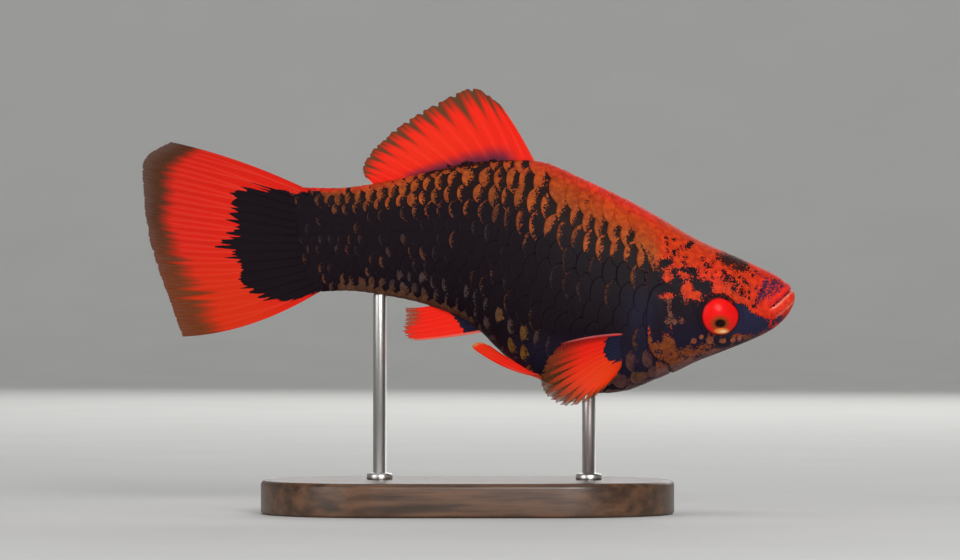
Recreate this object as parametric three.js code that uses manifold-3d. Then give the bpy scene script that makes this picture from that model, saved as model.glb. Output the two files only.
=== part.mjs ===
// A life-size still model of an adult female swordtail, swimming over a plain base that holds it on two short rods.
// Millimetres. +Z is up. The fish faces +X with its nose a little down, so its right side faces -Y.
// The origin is under the middle of the whole, on the plane that the base stands on.
import * as THREE from "three";
import { mergeVertices } from "three/addons/utils/BufferGeometryUtils.js";
import Module from "manifold-3d";

const wasm = await Module();
wasm.setup();

// Driving dimensions
const SWIM_HEIGHT = 35; // height of the fish's own axis over the floor
const GAP = 0.3; // clearance that touching pieces keep
const TAIL_SWING = 7; // how far the tail fin's edge is swept towards +Y
const SWING_FROM = 20; // x where the sweep begins
const TAIL_EDGE = -49; // x of the tail fin's rear edge

// The body in sections from the end of the tail stalk to the tip of the lower jaw. Each has the x and z of its top and
// bottom, its half width, the share of its height where it is widest, and how square it is above and below that
// (2 is an ellipse). z is counted from the fish's own axis.
const SECTIONS = [
  { top: [-24.6, 13.95], bottom: [-21.8, -1.85], half: 0.8, widest: 0.5, upper: 2, lower: 2 },
  { top: [-18.6, 13.9], bottom: [-17.4, -1.75], half: 1.9, widest: 0.5, upper: 2, lower: 2 },
  { top: [-12.2, 14.85], bottom: [-12.2, -2.45], half: 2.8, widest: 0.5, upper: 2, lower: 2 },
  { top: [-6.2, 16.2], bottom: [-6.2, -3.8], half: 3.8, widest: 0.49, upper: 2, lower: 2 },
  { top: [0, 17.5], bottom: [0.3, -6.5], half: 4.9, widest: 0.48, upper: 2, lower: 1.9 },
  { top: [5.6, 18], bottom: [5.6, -11.4], half: 5.9, widest: 0.46, upper: 1.95, lower: 1.95 },
  { top: [11.4, 17.7], bottom: [11, -15.1], half: 6.8, widest: 0.44, upper: 1.95, lower: 2.05 },
  { top: [17.4, 15.2], bottom: [17, -16.9], half: 7.4, widest: 0.43, upper: 1.95, lower: 2.15 },
  { top: [23.2, 12.45], bottom: [23.2, -16.8], half: 7.6, widest: 0.43, upper: 2, lower: 2.2 },
  { top: [29, 9.25], bottom: [28.4, -14.9], half: 7.3, widest: 0.43, upper: 2.1, lower: 2.15 },
  { top: [34.4, 6.1], bottom: [33.4, -12.65], half: 6.6, widest: 0.42, upper: 2.2, lower: 2.1 },
  { top: [39.4, 3.85], bottom: [38.4, -10.7], half: 5.7, widest: 0.43, upper: 2.3, lower: 2.1 },
  { top: [43.6, 2], bottom: [42.4, -9.1], half: 4.5, widest: 0.46, upper: 2.4, lower: 2.1 },
  { top: [46.7, 0.4], bottom: [45.6, -7.5], half: 3.3, widest: 0.5, upper: 2.3, lower: 2.1 },
  { top: [48.3, -1.1], bottom: [47.7, -5.7], half: 2.35, widest: 0.5, upper: 2.1, lower: 2.1 },
  { top: [48.9, -2.1], bottom: [48.8, -3.9], half: 1.4, widest: 0.5, upper: 2, lower: 2 },
  { top: [49, -2.9], bottom: [49, -3.1], half: 0.2, widest: 0.5, upper: 2, lower: 2 },
];
const LAST = SECTIONS.length - 1;
const RINGS_PER_SECTION = 2;
const RING_SIDES = 36;

// Where the body is parted: lines in x and z from over the back to under the belly
const GILL_LINE = [[28.6, 40], [28.1, 12], [28, 4], [28.2, -1], [28.3, -9], [29.6, -11.6], [31.6, -13.4], [32, -40]];
const STALK_LINE = [[-15.8, 40], [-15.8, 16], [-15, -3], [-15, -40]];

// Head
const EYE = { x: 37.7, z: -5.4, radius: 3.25, depth: 1.75, sunk: 0.8, rim: 3.2, rimTube: 0.45 };
const MOUTH = { corner: [45.5, -4.05], rise: THREE.MathUtils.degToRad(40), upperLip: 0.6, lowerLip: 0.78 };
const CHIN_LINE_FOOT = [41.2, -15];
const NOSTRILS = [{ x: 41.1, z: -1.7, radius: 0.5 }, { x: 43.9, z: -1.6, radius: 0.4 }];
const GILL_COVER = {
  raised: 0.35,
  thick: 1.1,
  midlineHalf: GAP / 2,
  rear: [[29.6, -0.4], [27.5, -1.2], [26.5, -4.6], [26.6, -8.6], [27.7, -11.4], [30.2, -13], [31.8, -18]],
  front: [[36.6, -18], [34.7, -12], [33, -8.8], [32.2, -5.4], [31.3, -2.4], [29.6, -0.4]],
};

// Stand
const BASE = { length: 62, width: 36, thick: 5, bevel: 0.8 };
const ROD_RADIUS = 1;
const ROD_SIDES = 20;
const ROD_FRONT_X = 18.2;
const ROD_REAR_X = -13.2;

const vector = (x, y, z) => new THREE.Vector3(x, y, z);
const lerp = THREE.MathUtils.lerp;

// A smooth curve through evenly spaced values, at t counted in steps of the list
function smooth(values, t) {
  const last = values.length - 1;
  const i = Math.min(Math.max(Math.floor(t), 0), last - 1);
  const [a, b, c, d] = [i - 1, i, i + 1, i + 2].map((k) => values[Math.min(Math.max(k, 0), last)]);
  const u = t - i;
  return b + 0.5 * u * (c - a + u * (2 * a - 5 * b + 4 * c - d + u * (3 * (b - c) + d - a)));
}

// The same for a list of [x, z] points, with t from 0 to 1
function smoothPoint(points, t) {
  const at = t * (points.length - 1);
  return [0, 1].map((axis) => smooth(points.map((p) => p[axis]), at));
}

// How far the sweep of the tail carries a point at x towards +Y
function swing(x) {
  const share = Math.max(0, (SWING_FROM - x) / (SWING_FROM - TAIL_EDGE));
  return TAIL_SWING * share * share;
}

// Solids

function solid(geometry) {
  const bare = geometry.index ? geometry.clone() : mergeVertices(geometry);
  bare.deleteAttribute("normal");
  bare.deleteAttribute("uv");
  const merged = mergeVertices(bare, 1e-4);
  const corners = [];
  for (let i = 0; i < merged.index.count; i += 3) {
    const [a, b, c] = [0, 1, 2].map((k) => merged.index.getX(i + k));
    if (a !== b && b !== c && c !== a) corners.push(a, b, c);
  }
  const vertProperties = new Float32Array(merged.attributes.position.array);
  const made = new wasm.Manifold(new wasm.Mesh({ numProp: 3, vertProperties, triVerts: new Uint32Array(corners) }));
  if (made.volume() > 0) return made;
  for (let i = 0; i < corners.length; i += 3) [corners[i], corners[i + 1]] = [corners[i + 1], corners[i]];
  return new wasm.Manifold(new wasm.Mesh({ numProp: 3, vertProperties, triVerts: new Uint32Array(corners) }));
}

function largest(made) {
  return made.decompose().reduce((best, next) => (next.volume() > best.volume() ? next : best));
}

function geometryOf(made) {
  const { vertProperties, triVerts, numProp } = largest(made).getMesh();
  const geometry = new THREE.BufferGeometry();
  const places = new Float32Array((vertProperties.length / numProp) * 3);
  for (let i = 0; i * numProp < vertProperties.length; i++) {
    places.set(vertProperties.subarray(i * numProp, i * numProp + 3), i * 3);
  }
  geometry.setAttribute("position", new THREE.BufferAttribute(places, 3));
  geometry.setIndex(new THREE.BufferAttribute(new Uint32Array(triVerts), 1));
  geometry.computeVertexNormals();
  return geometry;
}

function fromPoints(points, triangles) {
  const geometry = new THREE.BufferGeometry().setFromPoints(points);
  geometry.setIndex(triangles);
  return geometry;
}

// A closed skin over rings of points, with each end closed by a fan
function loft(rings) {
  const sides = rings[0].length;
  const points = rings.flat();
  const triangles = [];
  for (let k = 0; k + 1 < rings.length; k++) {
    for (let j = 0; j < sides; j++) {
      const [a, b] = [k * sides + j, k * sides + ((j + 1) % sides)];
      triangles.push(a, b, b + sides, a, b + sides, a + sides);
    }
  }
  const ends = [rings[0], rings[rings.length - 1]];
  ends.forEach((ring, end) => {
    const centre = points.push(ring.reduce((sum, p) => sum.add(p), vector(0, 0, 0)).divideScalar(sides)) - 1;
    const start = end ? (rings.length - 1) * sides : 0;
    for (let j = 0; j < sides; j++) {
      const [a, b] = [start + j, start + ((j + 1) % sides)];
      triangles.push(...(end ? [a, b, centre] : [b, a, centre]));
    }
  });
  return solid(fromPoints(points, triangles));
}

// A prism across the fish, from an outline in x and z
function across(outline, fromY, toY) {
  const shape = new THREE.Shape(outline.map(([x, z]) => new THREE.Vector2(x, z)));
  const geometry = new THREE.ExtrudeGeometry(shape, { depth: toY - fromY, bevelEnabled: false });
  return solid(geometry.rotateX(Math.PI / 2).translate(0, toY, 0));
}

// Everything ahead of a line in x and z
function ahead(line, shift = 0) {
  const [first, last] = [line[0], line[line.length - 1]];
  const outline = [...line.map(([x, z]) => [x + shift, z]), [100, last[1]], [100, first[1]]];
  return across(outline, -60, 60);
}

// Body

function sectionAt(s) {
  const read = (pick) => smooth(SECTIONS.map(pick), s);
  return {
    top: [read((c) => c.top[0]), read((c) => c.top[1])],
    bottom: [read((c) => c.bottom[0]), read((c) => c.bottom[1])],
    half: read((c) => c.half),
    widest: read((c) => c.widest),
    upper: read((c) => c.upper),
    lower: read((c) => c.lower),
  };
}

function ringAt(s, grow) {
  const { top, bottom, half, widest, upper, lower } = sectionAt(s);
  const middle = [lerp(bottom[0], top[0], widest), lerp(bottom[1], top[1], widest)];
  const endwards = grow * (s === 0 ? -1 : THREE.MathUtils.smoothstep(s, LAST - 3, LAST));
  return Array.from({ length: RING_SIDES }, (_, j) => {
    const angle = (2 * Math.PI * j) / RING_SIDES;
    const [across, up] = [Math.cos(angle), Math.sin(angle)];
    const [end, round] = up >= 0 ? [top, upper] : [bottom, lower];
    const reach = Math.hypot(end[0] - middle[0], end[1] - middle[1]);
    const rise = Math.abs(up) ** (2 / round) * (1 + grow / reach);
    const x = middle[0] + (end[0] - middle[0]) * rise + endwards;
    const y = Math.sign(across) * Math.abs(across) ** (2 / round) * (half + grow);
    return vector(x, y + swing(x), middle[1] + (end[1] - middle[1]) * rise);
  });
}

function body(grow = 0) {
  const count = LAST * RINGS_PER_SECTION;
  return loft(Array.from({ length: count + 1 }, (_, k) => ringAt((k * LAST) / count, grow)));
}

// The place along the body, in sections, whose section passes through a point given by x and z
function sectionThrough(x, z) {
  let [low, high] = [0, LAST];
  for (let i = 0; i < 40; i++) {
    const s = (low + high) / 2;
    const { top, bottom } = sectionAt(s);
    const share = (z - bottom[1]) / (top[1] - bottom[1]);
    if (lerp(bottom[0], top[0], share) < x) low = s;
    else high = s;
  }
  return low;
}

// Half width of the body at x and z, or 0 outside its outline
function sideAt(x, z) {
  const { top, bottom, half, widest, upper, lower } = sectionAt(sectionThrough(x, z));
  const share = (z - bottom[1]) / (top[1] - bottom[1]);
  const [out, round] = share > widest ? [(share - widest) / (1 - widest), upper] : [1 - share / widest, lower];
  return half * Math.max(0, 1 - out ** round) ** (1 / round);
}

// Height of the back or of the belly's keel at x
function edgeAt(edge, x) {
  let [low, high] = [0, LAST];
  for (let i = 0; i < 40; i++) {
    const s = (low + high) / 2;
    if (sectionAt(s)[edge][0] < x) low = s;
    else high = s;
  }
  return sectionAt(low)[edge][1];
}

// Head

// A closed roll along a path in the plane of the mouth, thinner at its ends and lying against that plane
function roll(path, radius, normal, side) {
  const sides = 8;
  const rings = path.map((place, k) => {
    const along = path[Math.min(k + 1, path.length - 1)].clone().sub(path[Math.max(k - 1, 0)]).normalize();
    const out = along.clone().cross(normal);
    const thick = radius * (0.6 + 0.4 * Math.sin((Math.PI * k) / (path.length - 1)));
    return Array.from({ length: sides }, (_, j) => {
      const angle = (2 * Math.PI * j) / sides;
      const [a, b] = [Math.cos(angle) * thick, Math.sin(angle) * thick + side * (thick - radius)];
      return place.clone().addScaledVector(out, a).addScaledVector(normal, b);
    });
  });
  return loft(rings);
}

// The lip over the mouth's line (side 1) or under it (side -1), from one corner round the snout to the other
function lip(side, radius) {
  const steps = 16;
  const behindCorner = 0.8;
  const [forward, up] = [Math.cos(MOUTH.rise), Math.sin(MOUTH.rise)];
  const offset = side * (radius + GAP / 2);
  const [startX, startZ] = [MOUTH.corner[0] - up * offset, MOUTH.corner[1] + forward * offset];
  const half = (a) => sideAt(startX + a * forward, startZ + a * up);
  let front = 0;
  while (half(front + 0.02) > 0.3) front += 0.02;
  const path = Array.from({ length: steps + 1 }, (_, k) => {
    const angle = (Math.PI * k) / steps;
    const a = (front + behindCorner) * Math.sin(angle) - behindCorner;
    const y = 2 * k === steps ? 0 : Math.sign(Math.cos(angle)) * Math.max(half(a) - 0.3 * radius, 0);
    return vector(startX + a * forward, y, startZ + a * up);
  });
  return roll(path, radius, vector(-up, 0, forward), side);
}

// Lays a shape that faces +Y flat on the side of the head, over a patch of the given radius
function layOnSide(geometry, side, { x, z, radius }, sunk) {
  const [ahead, behind] = [sideAt(x + radius, z), sideAt(x - radius, z)];
  const [over, under] = [sideAt(x, z + radius), sideAt(x, z - radius)];
  const out = vector((behind - ahead) / (2 * radius), 1, (under - over) / (2 * radius)).normalize();
  const level = (ahead + behind + over + under + 4 * sideAt(x, z)) / 8;
  const turn = new THREE.Quaternion().setFromUnitVectors(vector(0, 1, 0), vector(out.x, side * out.y, out.z));
  return geometry.applyQuaternion(turn).translate(x - sunk * out.x, side * (level - sunk * out.y), z - sunk * out.z);
}

function eyeball(side, grow = 0) {
  const ball = new THREE.SphereGeometry(1, 22, 12).scale(EYE.radius + grow, EYE.depth + grow, EYE.radius + grow);
  return solid(layOnSide(ball, side, EYE, EYE.sunk));
}

// The raised rim of the socket, which follows the side of the head
function eyeRim(side) {
  const ring = new THREE.TorusGeometry(EYE.rim, EYE.rimTube, 6, 24).rotateX(Math.PI / 2);
  ring.translate(EYE.x, 0, EYE.z);
  const places = ring.attributes.position;
  for (let i = 0; i < places.count; i++) {
    const y = sideAt(places.getX(i), places.getZ(i)) + 0.8 * places.getY(i) - 0.05;
    places.setY(i, side * y);
  }
  return solid(ring);
}

function nostril(side, hole) {
  return solid(layOnSide(new THREE.SphereGeometry(hole.radius, 10, 6), side, hole, 0));
}

// Everything in front of and under the mouth's line, which the lower jaw takes
function jawRegion(grow) {
  const [x, z] = MOUTH.corner;
  const [forward, up] = [Math.cos(MOUTH.rise), Math.sin(MOUTH.rise)];
  const corner = [x - grow * forward, z + grow / 2];
  const far = [corner[0] + 12 * forward, corner[1] + 12 * up];
  return across([corner, far, [70, -15], [CHIN_LINE_FOOT[0] - grow, CHIN_LINE_FOOT[1]]], -20, 20);
}

function gillCoverRegion(side, grow) {
  const steps = 10;
  const edges = [GILL_COVER.rear, GILL_COVER.front];
  const plain = edges.flatMap((edge) => Array.from({ length: steps }, (_, k) => smoothPoint(edge, (k + 0.5) / steps)));
  const middle = plain.reduce((sum, p) => [sum[0] + p[0], sum[1] + p[1]], [0, 0]);
  const [centreX, centreZ] = middle.map((v) => v / plain.length);
  const outline = plain.map(([x, z]) => {
    const away = Math.hypot(x - centreX, z - centreZ);
    return [x + (grow * (x - centreX)) / away, z + (grow * (z - centreZ)) / away];
  });
  const inner = GILL_COVER.midlineHalf - grow;
  return side > 0 ? across(outline, inner, 20) : across(outline, -20, -inner);
}

// Fins

// A membrane with rays as ridges in its own surface. root and tip give the ends of a ray at t, from 0 at the first ray
// to 1 at the last, and bow how far its middle is bent aside. The membrane's edge is drawn in by notch between the tips.
function fin({ rays, root, tip, bow, rayHalf, filmHalf = 0.25, tipHalf = 0.16, notch, steps }) {
  const place = (t, u) => {
    const [a, b] = [root(t), tip(t)];
    const middle = a.clone().add(b).multiplyScalar(0.5).add(bow(t));
    const point = a.multiplyScalar((1 - u) ** 2).addScaledVector(middle, 2 * u * (1 - u)).addScaledVector(b, u * u);
    return point.setY(point.y + swing(point.x));
  };
  const facing = (t, u) => {
    const e = 0.01;
    const along = place(t, Math.min(u + e, 1)).sub(place(t, Math.max(u - e, 0)));
    const over = place(Math.min(t + e, 1), u).sub(place(Math.max(t - e, 0), u));
    return along.cross(over).normalize();
  };
  const columns = [];
  for (let i = 0; i < rays; i++) {
    columns.push({ t: i / (rays - 1), ray: true });
    if (i < rays - 1) [0.32, 0.68].forEach((f) => columns.push({ t: (i + f) / (rays - 1), ray: false }));
  }
  const faces = [1, -1].map((side) =>
    Array.from({ length: steps + 1 }, (_, k) =>
      columns.map(({ t, ray }) => {
        const share = k / steps;
        const u = ray ? share : share - notch(t) * share ** 4;
        const half = ray ? lerp(rayHalf, tipHalf, share) : lerp(filmHalf, tipHalf, share ** 6);
        return place(t, u).addScaledVector(facing(t, u), side * half);
      }),
    ),
  );
  const points = faces.flat(2);
  const width = columns.length;
  const count = width * (steps + 1);
  const triangles = [];
  const quad = (a, b, c, d) => triangles.push(a, b, c, a, c, d);
  for (let k = 0; k < steps; k++) {
    for (let j = 0; j + 1 < width; j++) {
      const [a, b] = [k * width + j, k * width + j + 1];
      quad(a, b, b + width, a + width);
      triangles.push(a + count, b + width + count, b + count, a + count, a + width + count, b + width + count);
    }
    const [first, last] = [k * width, (k + 1) * width - 1];
    quad(first, first + width, first + width + count, first + count);
    quad(last + width, last, last + count, last + width + count);
  }
  for (let j = 0; j + 1 < width; j++) {
    const edge = steps * width + j;
    quad(j + 1, j, j + count, j + 1 + count);
    quad(edge, edge + 1, edge + 1 + count, edge + count);
  }
  return solid(fromPoints(points, triangles));
}

function dorsalFin() {
  const [frontX, rearX, sunk] = [10.5, -13.6, 1];
  const tips = [[4.9, 26.3], [0.8, 28.8], [-5.2, 26.2], [-10.1, 23.2], [-13.7, 20.2], [-15.7, 17.1], [-15.4, 15.4]];
  return fin({
    rays: 13,
    steps: 6,
    rayHalf: 0.5,
    root: (t) => {
      const x = lerp(frontX, rearX, t);
      return vector(x, 0, edgeAt("top", x) - sunk);
    },
    tip: (t) => {
      const [x, z] = smoothPoint(tips, t);
      return vector(x, 0.6 * Math.sin(5 * t), z);
    },
    bow: (t) => vector(lerp(0.45, 0, t), 0, lerp(0.3, 0.5, t)),
    notch: (t) => 0.13 * Math.sin(Math.PI * Math.min(1, 0.15 + t)) ** 0.5,
  });
}

function tailFin() {
  const roots = [[-23.9, 13.5], [-24, 9.5], [-23.4, 5.6], [-22.6, 2], [-21.4, -1.3]];
  const tips = [[-44.9, 20.8], [-48.9, 18.2], [-49, 12.8], [-48.4, 7.4], [-46.9, 2], [-45, -3.2], [-43.1, -8.6]];
  return fin({
    rays: 17,
    steps: 7,
    rayHalf: 0.55,
    root: (t) => {
      const [x, z] = smoothPoint(roots, t);
      return vector(x, 0, z);
    },
    tip: (t) => {
      const [x, z] = smoothPoint(tips, t);
      return vector(x, 0.7 * Math.sin(7 * t), z);
    },
    bow: (t) => vector(0, 0, lerp(1.4, -3.2, t)),
    notch: () => 0.03,
  });
}

function analFin() {
  const [frontX, rearX, sunk] = [2.3, -4, 1];
  const tips = [[-8.5, -9.15], [-9.8, -7.9], [-9.5, -6.6], [-9.3, -5.4], [-9.5, -4.2]];
  return fin({
    rays: 9,
    steps: 5,
    rayHalf: 0.42,
    root: (t) => {
      const x = lerp(frontX, rearX, t);
      return vector(x, 0, edgeAt("bottom", x) + sunk);
    },
    tip: (t) => {
      const [x, z] = smoothPoint(tips, t);
      return vector(x, 0.3 * Math.sin(4 * t), z);
    },
    bow: (t) => vector(0, 0, lerp(-0.4, -0.5, t)),
    notch: () => 0.08,
  });
}

function pelvicFin(side) {
  return fin({
    rays: 6,
    steps: 6,
    rayHalf: 0.36,
    root: (t) => vector(lerp(11.2, 9.9, t), side * lerp(2.4, 1.2, t), lerp(-14.1, -13.2, t)),
    tip: (t) => vector(lerp(0.2, 2.4, t), side * lerp(2.9, 0.9, t), lerp(-9.5, -9.6, t)),
    bow: (t) => vector(-0.3, 0, lerp(-2.6, -2.2, t)),
    notch: () => 0.06,
  });
}

function pectoralFin(side) {
  const tips = [
    [13.9, -9.4], [11.7, -11.9], [10.9, -14.6], [11.6, -17.1], [14.2, -18.7], [17.3, -18.3], [20, -16.5], [21.8, -14.6],
  ];
  return fin({
    rays: 13,
    steps: 5,
    rayHalf: 0.4,
    root: (t) => {
      const [x, z] = [lerp(24.3, 22.9, t), lerp(-8, -12.7, t)];
      return vector(x, side * (sideAt(x, z) - 0.9), z);
    },
    tip: (t) => {
      const [x, z] = smoothPoint(tips, t);
      return vector(x, side * lerp(11.2, 8.9, t), z);
    },
    bow: (t) => vector(0, side * 0.9, lerp(0.7, -0.2, t)),
    notch: (t) => lerp(0.05, 0.16, t),
  });
}

// Stand

function baseGeometry() {
  const { length, width, thick, bevel } = BASE;
  const radius = width / 2 - bevel;
  const run = length / 2 - width / 2;
  const shape = new THREE.Shape();
  shape.absarc(run, 0, radius, -Math.PI / 2, Math.PI / 2, false);
  shape.absarc(-run, 0, radius, Math.PI / 2, (3 * Math.PI) / 2, false);
  shape.closePath();
  const depth = thick - bevel;
  const cut = { depth, curveSegments: 14, bevelSize: bevel, bevelThickness: bevel, bevelSegments: 2 };
  const whole = solid(new THREE.ExtrudeGeometry(shape, cut));
  const above = new THREE.BoxGeometry(2 * length, 2 * width, thick).translate(0, 0, thick / 2);
  return geometryOf(whole.intersect(solid(above)));
}

function rod(x, clearBody) {
  const top = SWIM_HEIGHT + edgeAt("bottom", x) + 2;
  const foot = BASE.thick + GAP;
  const cylinder = new THREE.CylinderGeometry(ROD_RADIUS, ROD_RADIUS, top - foot, ROD_SIDES);
  cylinder.rotateX(Math.PI / 2).translate(x, swing(x), (top + foot) / 2);
  return geometryOf(solid(cylinder).subtract(clearBody.translate([0, 0, SWIM_HEIGHT])));
}

// Materials
const scaleDark = new THREE.MeshStandardMaterial({ color: 0x1d1a26, roughness: 0.35, metalness: 0 });
const headRed = new THREE.MeshStandardMaterial({ color: 0xd8401c, roughness: 0.35, metalness: 0 });
const finRed = new THREE.MeshStandardMaterial({ color: 0xe8301a, roughness: 0.45, metalness: 0 });
const eyeRed = new THREE.MeshStandardMaterial({ color: 0xf0241c, roughness: 0.1, metalness: 0 });
const wood = new THREE.MeshStandardMaterial({ color: 0x4a2e1c, roughness: 0.5, metalness: 0 });
const steel = new THREE.MeshStandardMaterial({ color: 0xb8b8b4, roughness: 0.3, metalness: 1 });

// Parting the body
const plainBody = body();
const clearBody = body(GAP);
const sides = [["right", -1], ["left", 1]];

let core = plainBody;
const coverInside = body(GILL_COVER.raised - GILL_COVER.thick);
const recessInside = body(GILL_COVER.raised - GILL_COVER.thick - GAP);
sides.forEach(([, side]) => {
  core = core.subtract(gillCoverRegion(side, GAP).subtract(recessInside));
});

let head = core.intersect(ahead(GILL_LINE)).add(lip(1, MOUTH.upperLip)).subtract(jawRegion(GAP));
sides.forEach(([, side]) => {
  head = head.add(eyeRim(side)).subtract(eyeball(side, GAP));
  NOSTRILS.forEach((hole) => {
    head = head.subtract(nostril(side, hole));
  });
});
const jaw = plainBody.add(lip(-1, MOUTH.lowerLip)).intersect(jawRegion(0));
const trunk = core.subtract(ahead(GILL_LINE, -GAP)).intersect(ahead(STALK_LINE));
const stalk = core.subtract(ahead(STALK_LINE, -GAP));
const coverOutside = body(GILL_COVER.raised);
const gillCover = (side) => coverOutside.intersect(gillCoverRegion(side, 0)).subtract(coverInside);

// The model
function piece(name, made, material) {
  const mesh = new THREE.Mesh(geometryOf(made), material);
  mesh.name = name;
  return mesh;
}

const fish = new THREE.Group();
fish.name = "fish";
fish.position.z = SWIM_HEIGHT;
fish.add(
  piece("head", head, headRed),
  piece("jaw_lower", jaw, headRed),
  piece("trunk", trunk, scaleDark),
  piece("tail_stalk", stalk, scaleDark),
  piece("fin_dorsal", dorsalFin().subtract(clearBody), finRed),
  piece("fin_caudal", tailFin().subtract(clearBody), finRed),
  piece("fin_anal", analFin().subtract(clearBody), finRed),
);
sides.forEach(([word, side]) => {
  fish.add(
    piece(`eye_${word}`, eyeball(side), eyeRed),
    piece(`gill_cover_${word}`, gillCover(side), headRed),
    piece(`fin_pectoral_${word}`, pectoralFin(side).subtract(clearBody), finRed),
    piece(`fin_pelvic_${word}`, pelvicFin(side).subtract(clearBody), finRed),
  );
});

const base = new THREE.Mesh(baseGeometry(), wood);
base.name = "stand_base";
const rodFront = new THREE.Mesh(rod(ROD_FRONT_X, clearBody), steel);
rodFront.name = "stand_rod_front";
const rodRear = new THREE.Mesh(rod(ROD_REAR_X, clearBody), steel);
rodRear.name = "stand_rod_rear";
const stand = new THREE.Group();
stand.name = "stand";
stand.add(base, rodFront, rodRear);

const model = new THREE.Group();
model.name = "swordtail";
model.add(fish, stand);

export default model;
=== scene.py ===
"""A life-size female swordtail in the photo's pose, dressed over its solids, on its stand."""
import math

import bpy
import numpy as np
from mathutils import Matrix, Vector


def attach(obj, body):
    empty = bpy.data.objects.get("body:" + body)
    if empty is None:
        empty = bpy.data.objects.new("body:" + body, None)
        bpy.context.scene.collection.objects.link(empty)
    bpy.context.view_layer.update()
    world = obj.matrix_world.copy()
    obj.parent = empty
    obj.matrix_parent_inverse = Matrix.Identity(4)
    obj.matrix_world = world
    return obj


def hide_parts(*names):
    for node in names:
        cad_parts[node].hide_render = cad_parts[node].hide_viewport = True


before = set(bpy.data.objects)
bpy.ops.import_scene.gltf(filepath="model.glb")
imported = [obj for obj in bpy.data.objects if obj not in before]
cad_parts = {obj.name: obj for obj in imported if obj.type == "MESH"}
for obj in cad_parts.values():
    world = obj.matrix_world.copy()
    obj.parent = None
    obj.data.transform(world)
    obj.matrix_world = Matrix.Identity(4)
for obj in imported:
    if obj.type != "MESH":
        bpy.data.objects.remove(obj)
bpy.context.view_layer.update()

MM = 0.001

# Driving dimensions, in millimetres, as the solids have them. The fish's own axis is the zero of z.
SWIM_HEIGHT = 35
TAIL_SWING = 7
SWING_FROM = 20
TAIL_EDGE = -49

# The body in sections from the end of the tail stalk to the tip of the lower jaw: x and z of its top, x and z
# of its bottom, half width, the share of its height where it is widest, and how square it is above and below
SECTIONS = np.array([
    (-24.6, 13.95, -21.8, -1.85, 0.8, 0.5, 2, 2),
    (-18.6, 13.9, -17.4, -1.75, 1.9, 0.5, 2, 2),
    (-12.2, 14.85, -12.2, -2.45, 2.8, 0.5, 2, 2),
    (-6.2, 16.2, -6.2, -3.8, 3.8, 0.49, 2, 2),
    (0, 17.5, 0.3, -6.5, 4.9, 0.48, 2, 1.9),
    (5.6, 18, 5.6, -11.4, 5.9, 0.46, 1.95, 1.95),
    (11.4, 17.7, 11, -15.1, 6.8, 0.44, 1.95, 2.05),
    (17.4, 15.2, 17, -16.9, 7.4, 0.43, 1.95, 2.15),
    (23.2, 12.45, 23.2, -16.8, 7.6, 0.43, 2, 2.2),
    (29, 9.25, 28.4, -14.9, 7.3, 0.43, 2.1, 2.15),
    (34.4, 6.1, 33.4, -12.65, 6.6, 0.42, 2.2, 2.1),
    (39.4, 3.85, 38.4, -10.7, 5.7, 0.43, 2.3, 2.1),
    (43.6, 2, 42.4, -9.1, 4.5, 0.46, 2.4, 2.1),
    (46.7, 0.4, 45.6, -7.5, 3.3, 0.5, 2.3, 2.1),
    (48.3, -1.1, 47.7, -5.7, 2.35, 0.5, 2.1, 2.1),
    (48.9, -2.1, 48.8, -3.9, 1.4, 0.5, 2, 2),
    (49, -2.9, 49, -3.1, 0.2, 0.5, 2, 2),
])
LAST = len(SECTIONS) - 1
STALK_END = 2.4  # how far the flesh of the tail stalk runs out over the tail fin

EYE = {"x": 37.7, "z": -5.4, "radius": 3.25, "depth": 1.75, "sunk": 0.8, "opening": 2.92, "flat": 0.14}
MOUTH = {"x": 45.5, "z": -4.05, "rise": math.radians(40), "upper_lip": 0.6, "lower_lip": 0.78}
BROW = 47  # degrees round the eye, where its outline is flat and its rim high
NOSTRILS = [(41.1, -1.7, 0.5), (43.9, -1.6, 0.4)]
GILL_REAR = [(29.6, -0.4), (27.5, -1.2), (26.5, -4.6), (26.6, -8.6), (27.7, -11.4), (30.2, -13), (31.8, -18)]
GILL_FRONT = [(36.6, -18), (34.7, -12), (33, -8.8), (32.2, -5.4), (31.3, -2.4), (29.6, -0.4)]

SIDES = (("right", -1), ("left", 1))
SCALE_ROWS = 11  # on each side, from the middle of the back to the middle of the belly
SCALE_DEPTH = 0.16  # how deep the scales lie under the solids' surface at their roots
COLUMN_LEAN = 0.45  # how far the columns of scales lean from the sections towards square to the rows

# Colours, linear

def rgb(*parts):
    return np.array(parts)


ORANGE = rgb(0.47, 0.042, 0.006)
RED = rgb(0.64, 0.022, 0.01)
TAN = rgb(0.3, 0.062, 0.013)
DIM_TAN = rgb(0.1, 0.034, 0.011)
BLACK = rgb(0.0068, 0.0034, 0.006)
UMBER = rgb(0.014, 0.0065, 0.006)
SLATE = rgb(0.014, 0.012, 0.03)
MAUVE = rgb(0.07, 0.03, 0.028)
OCHRE = rgb(0.145, 0.064, 0.01)
GREY = rgb(0.05, 0.034, 0.033)
FAINT = rgb(0.024, 0.015, 0.018)
KEEL_BROWN = rgb(0.08, 0.038, 0.022)

LOW_CHEEK = rgb(0.17, 0.042, 0.013)
SPOT_TAN = rgb(0.21, 0.062, 0.034)
COVER_TAN = rgb(0.14, 0.05, 0.035)
UPPER_LIP = rgb(0.66, 0.022, 0.016)
LOWER_LIP = rgb(0.76, 0.046, 0.02)
# A painted highlight along the lips
LIP_HIGHLIGHT = rgb(0.75, 0.26, 0.19)
EYE_SLATE = rgb(0.018, 0.017, 0.043)
CROWN_BROWN = rgb(0.034, 0.01, 0.007)
SNOUT_VIOLET = rgb(0.06, 0.016, 0.045)
JAW_VIOLET = rgb(0.045, 0.018, 0.04)

# The iris's red, painted lighter towards the top as lit and deeper towards the bottom as in shade
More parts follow.
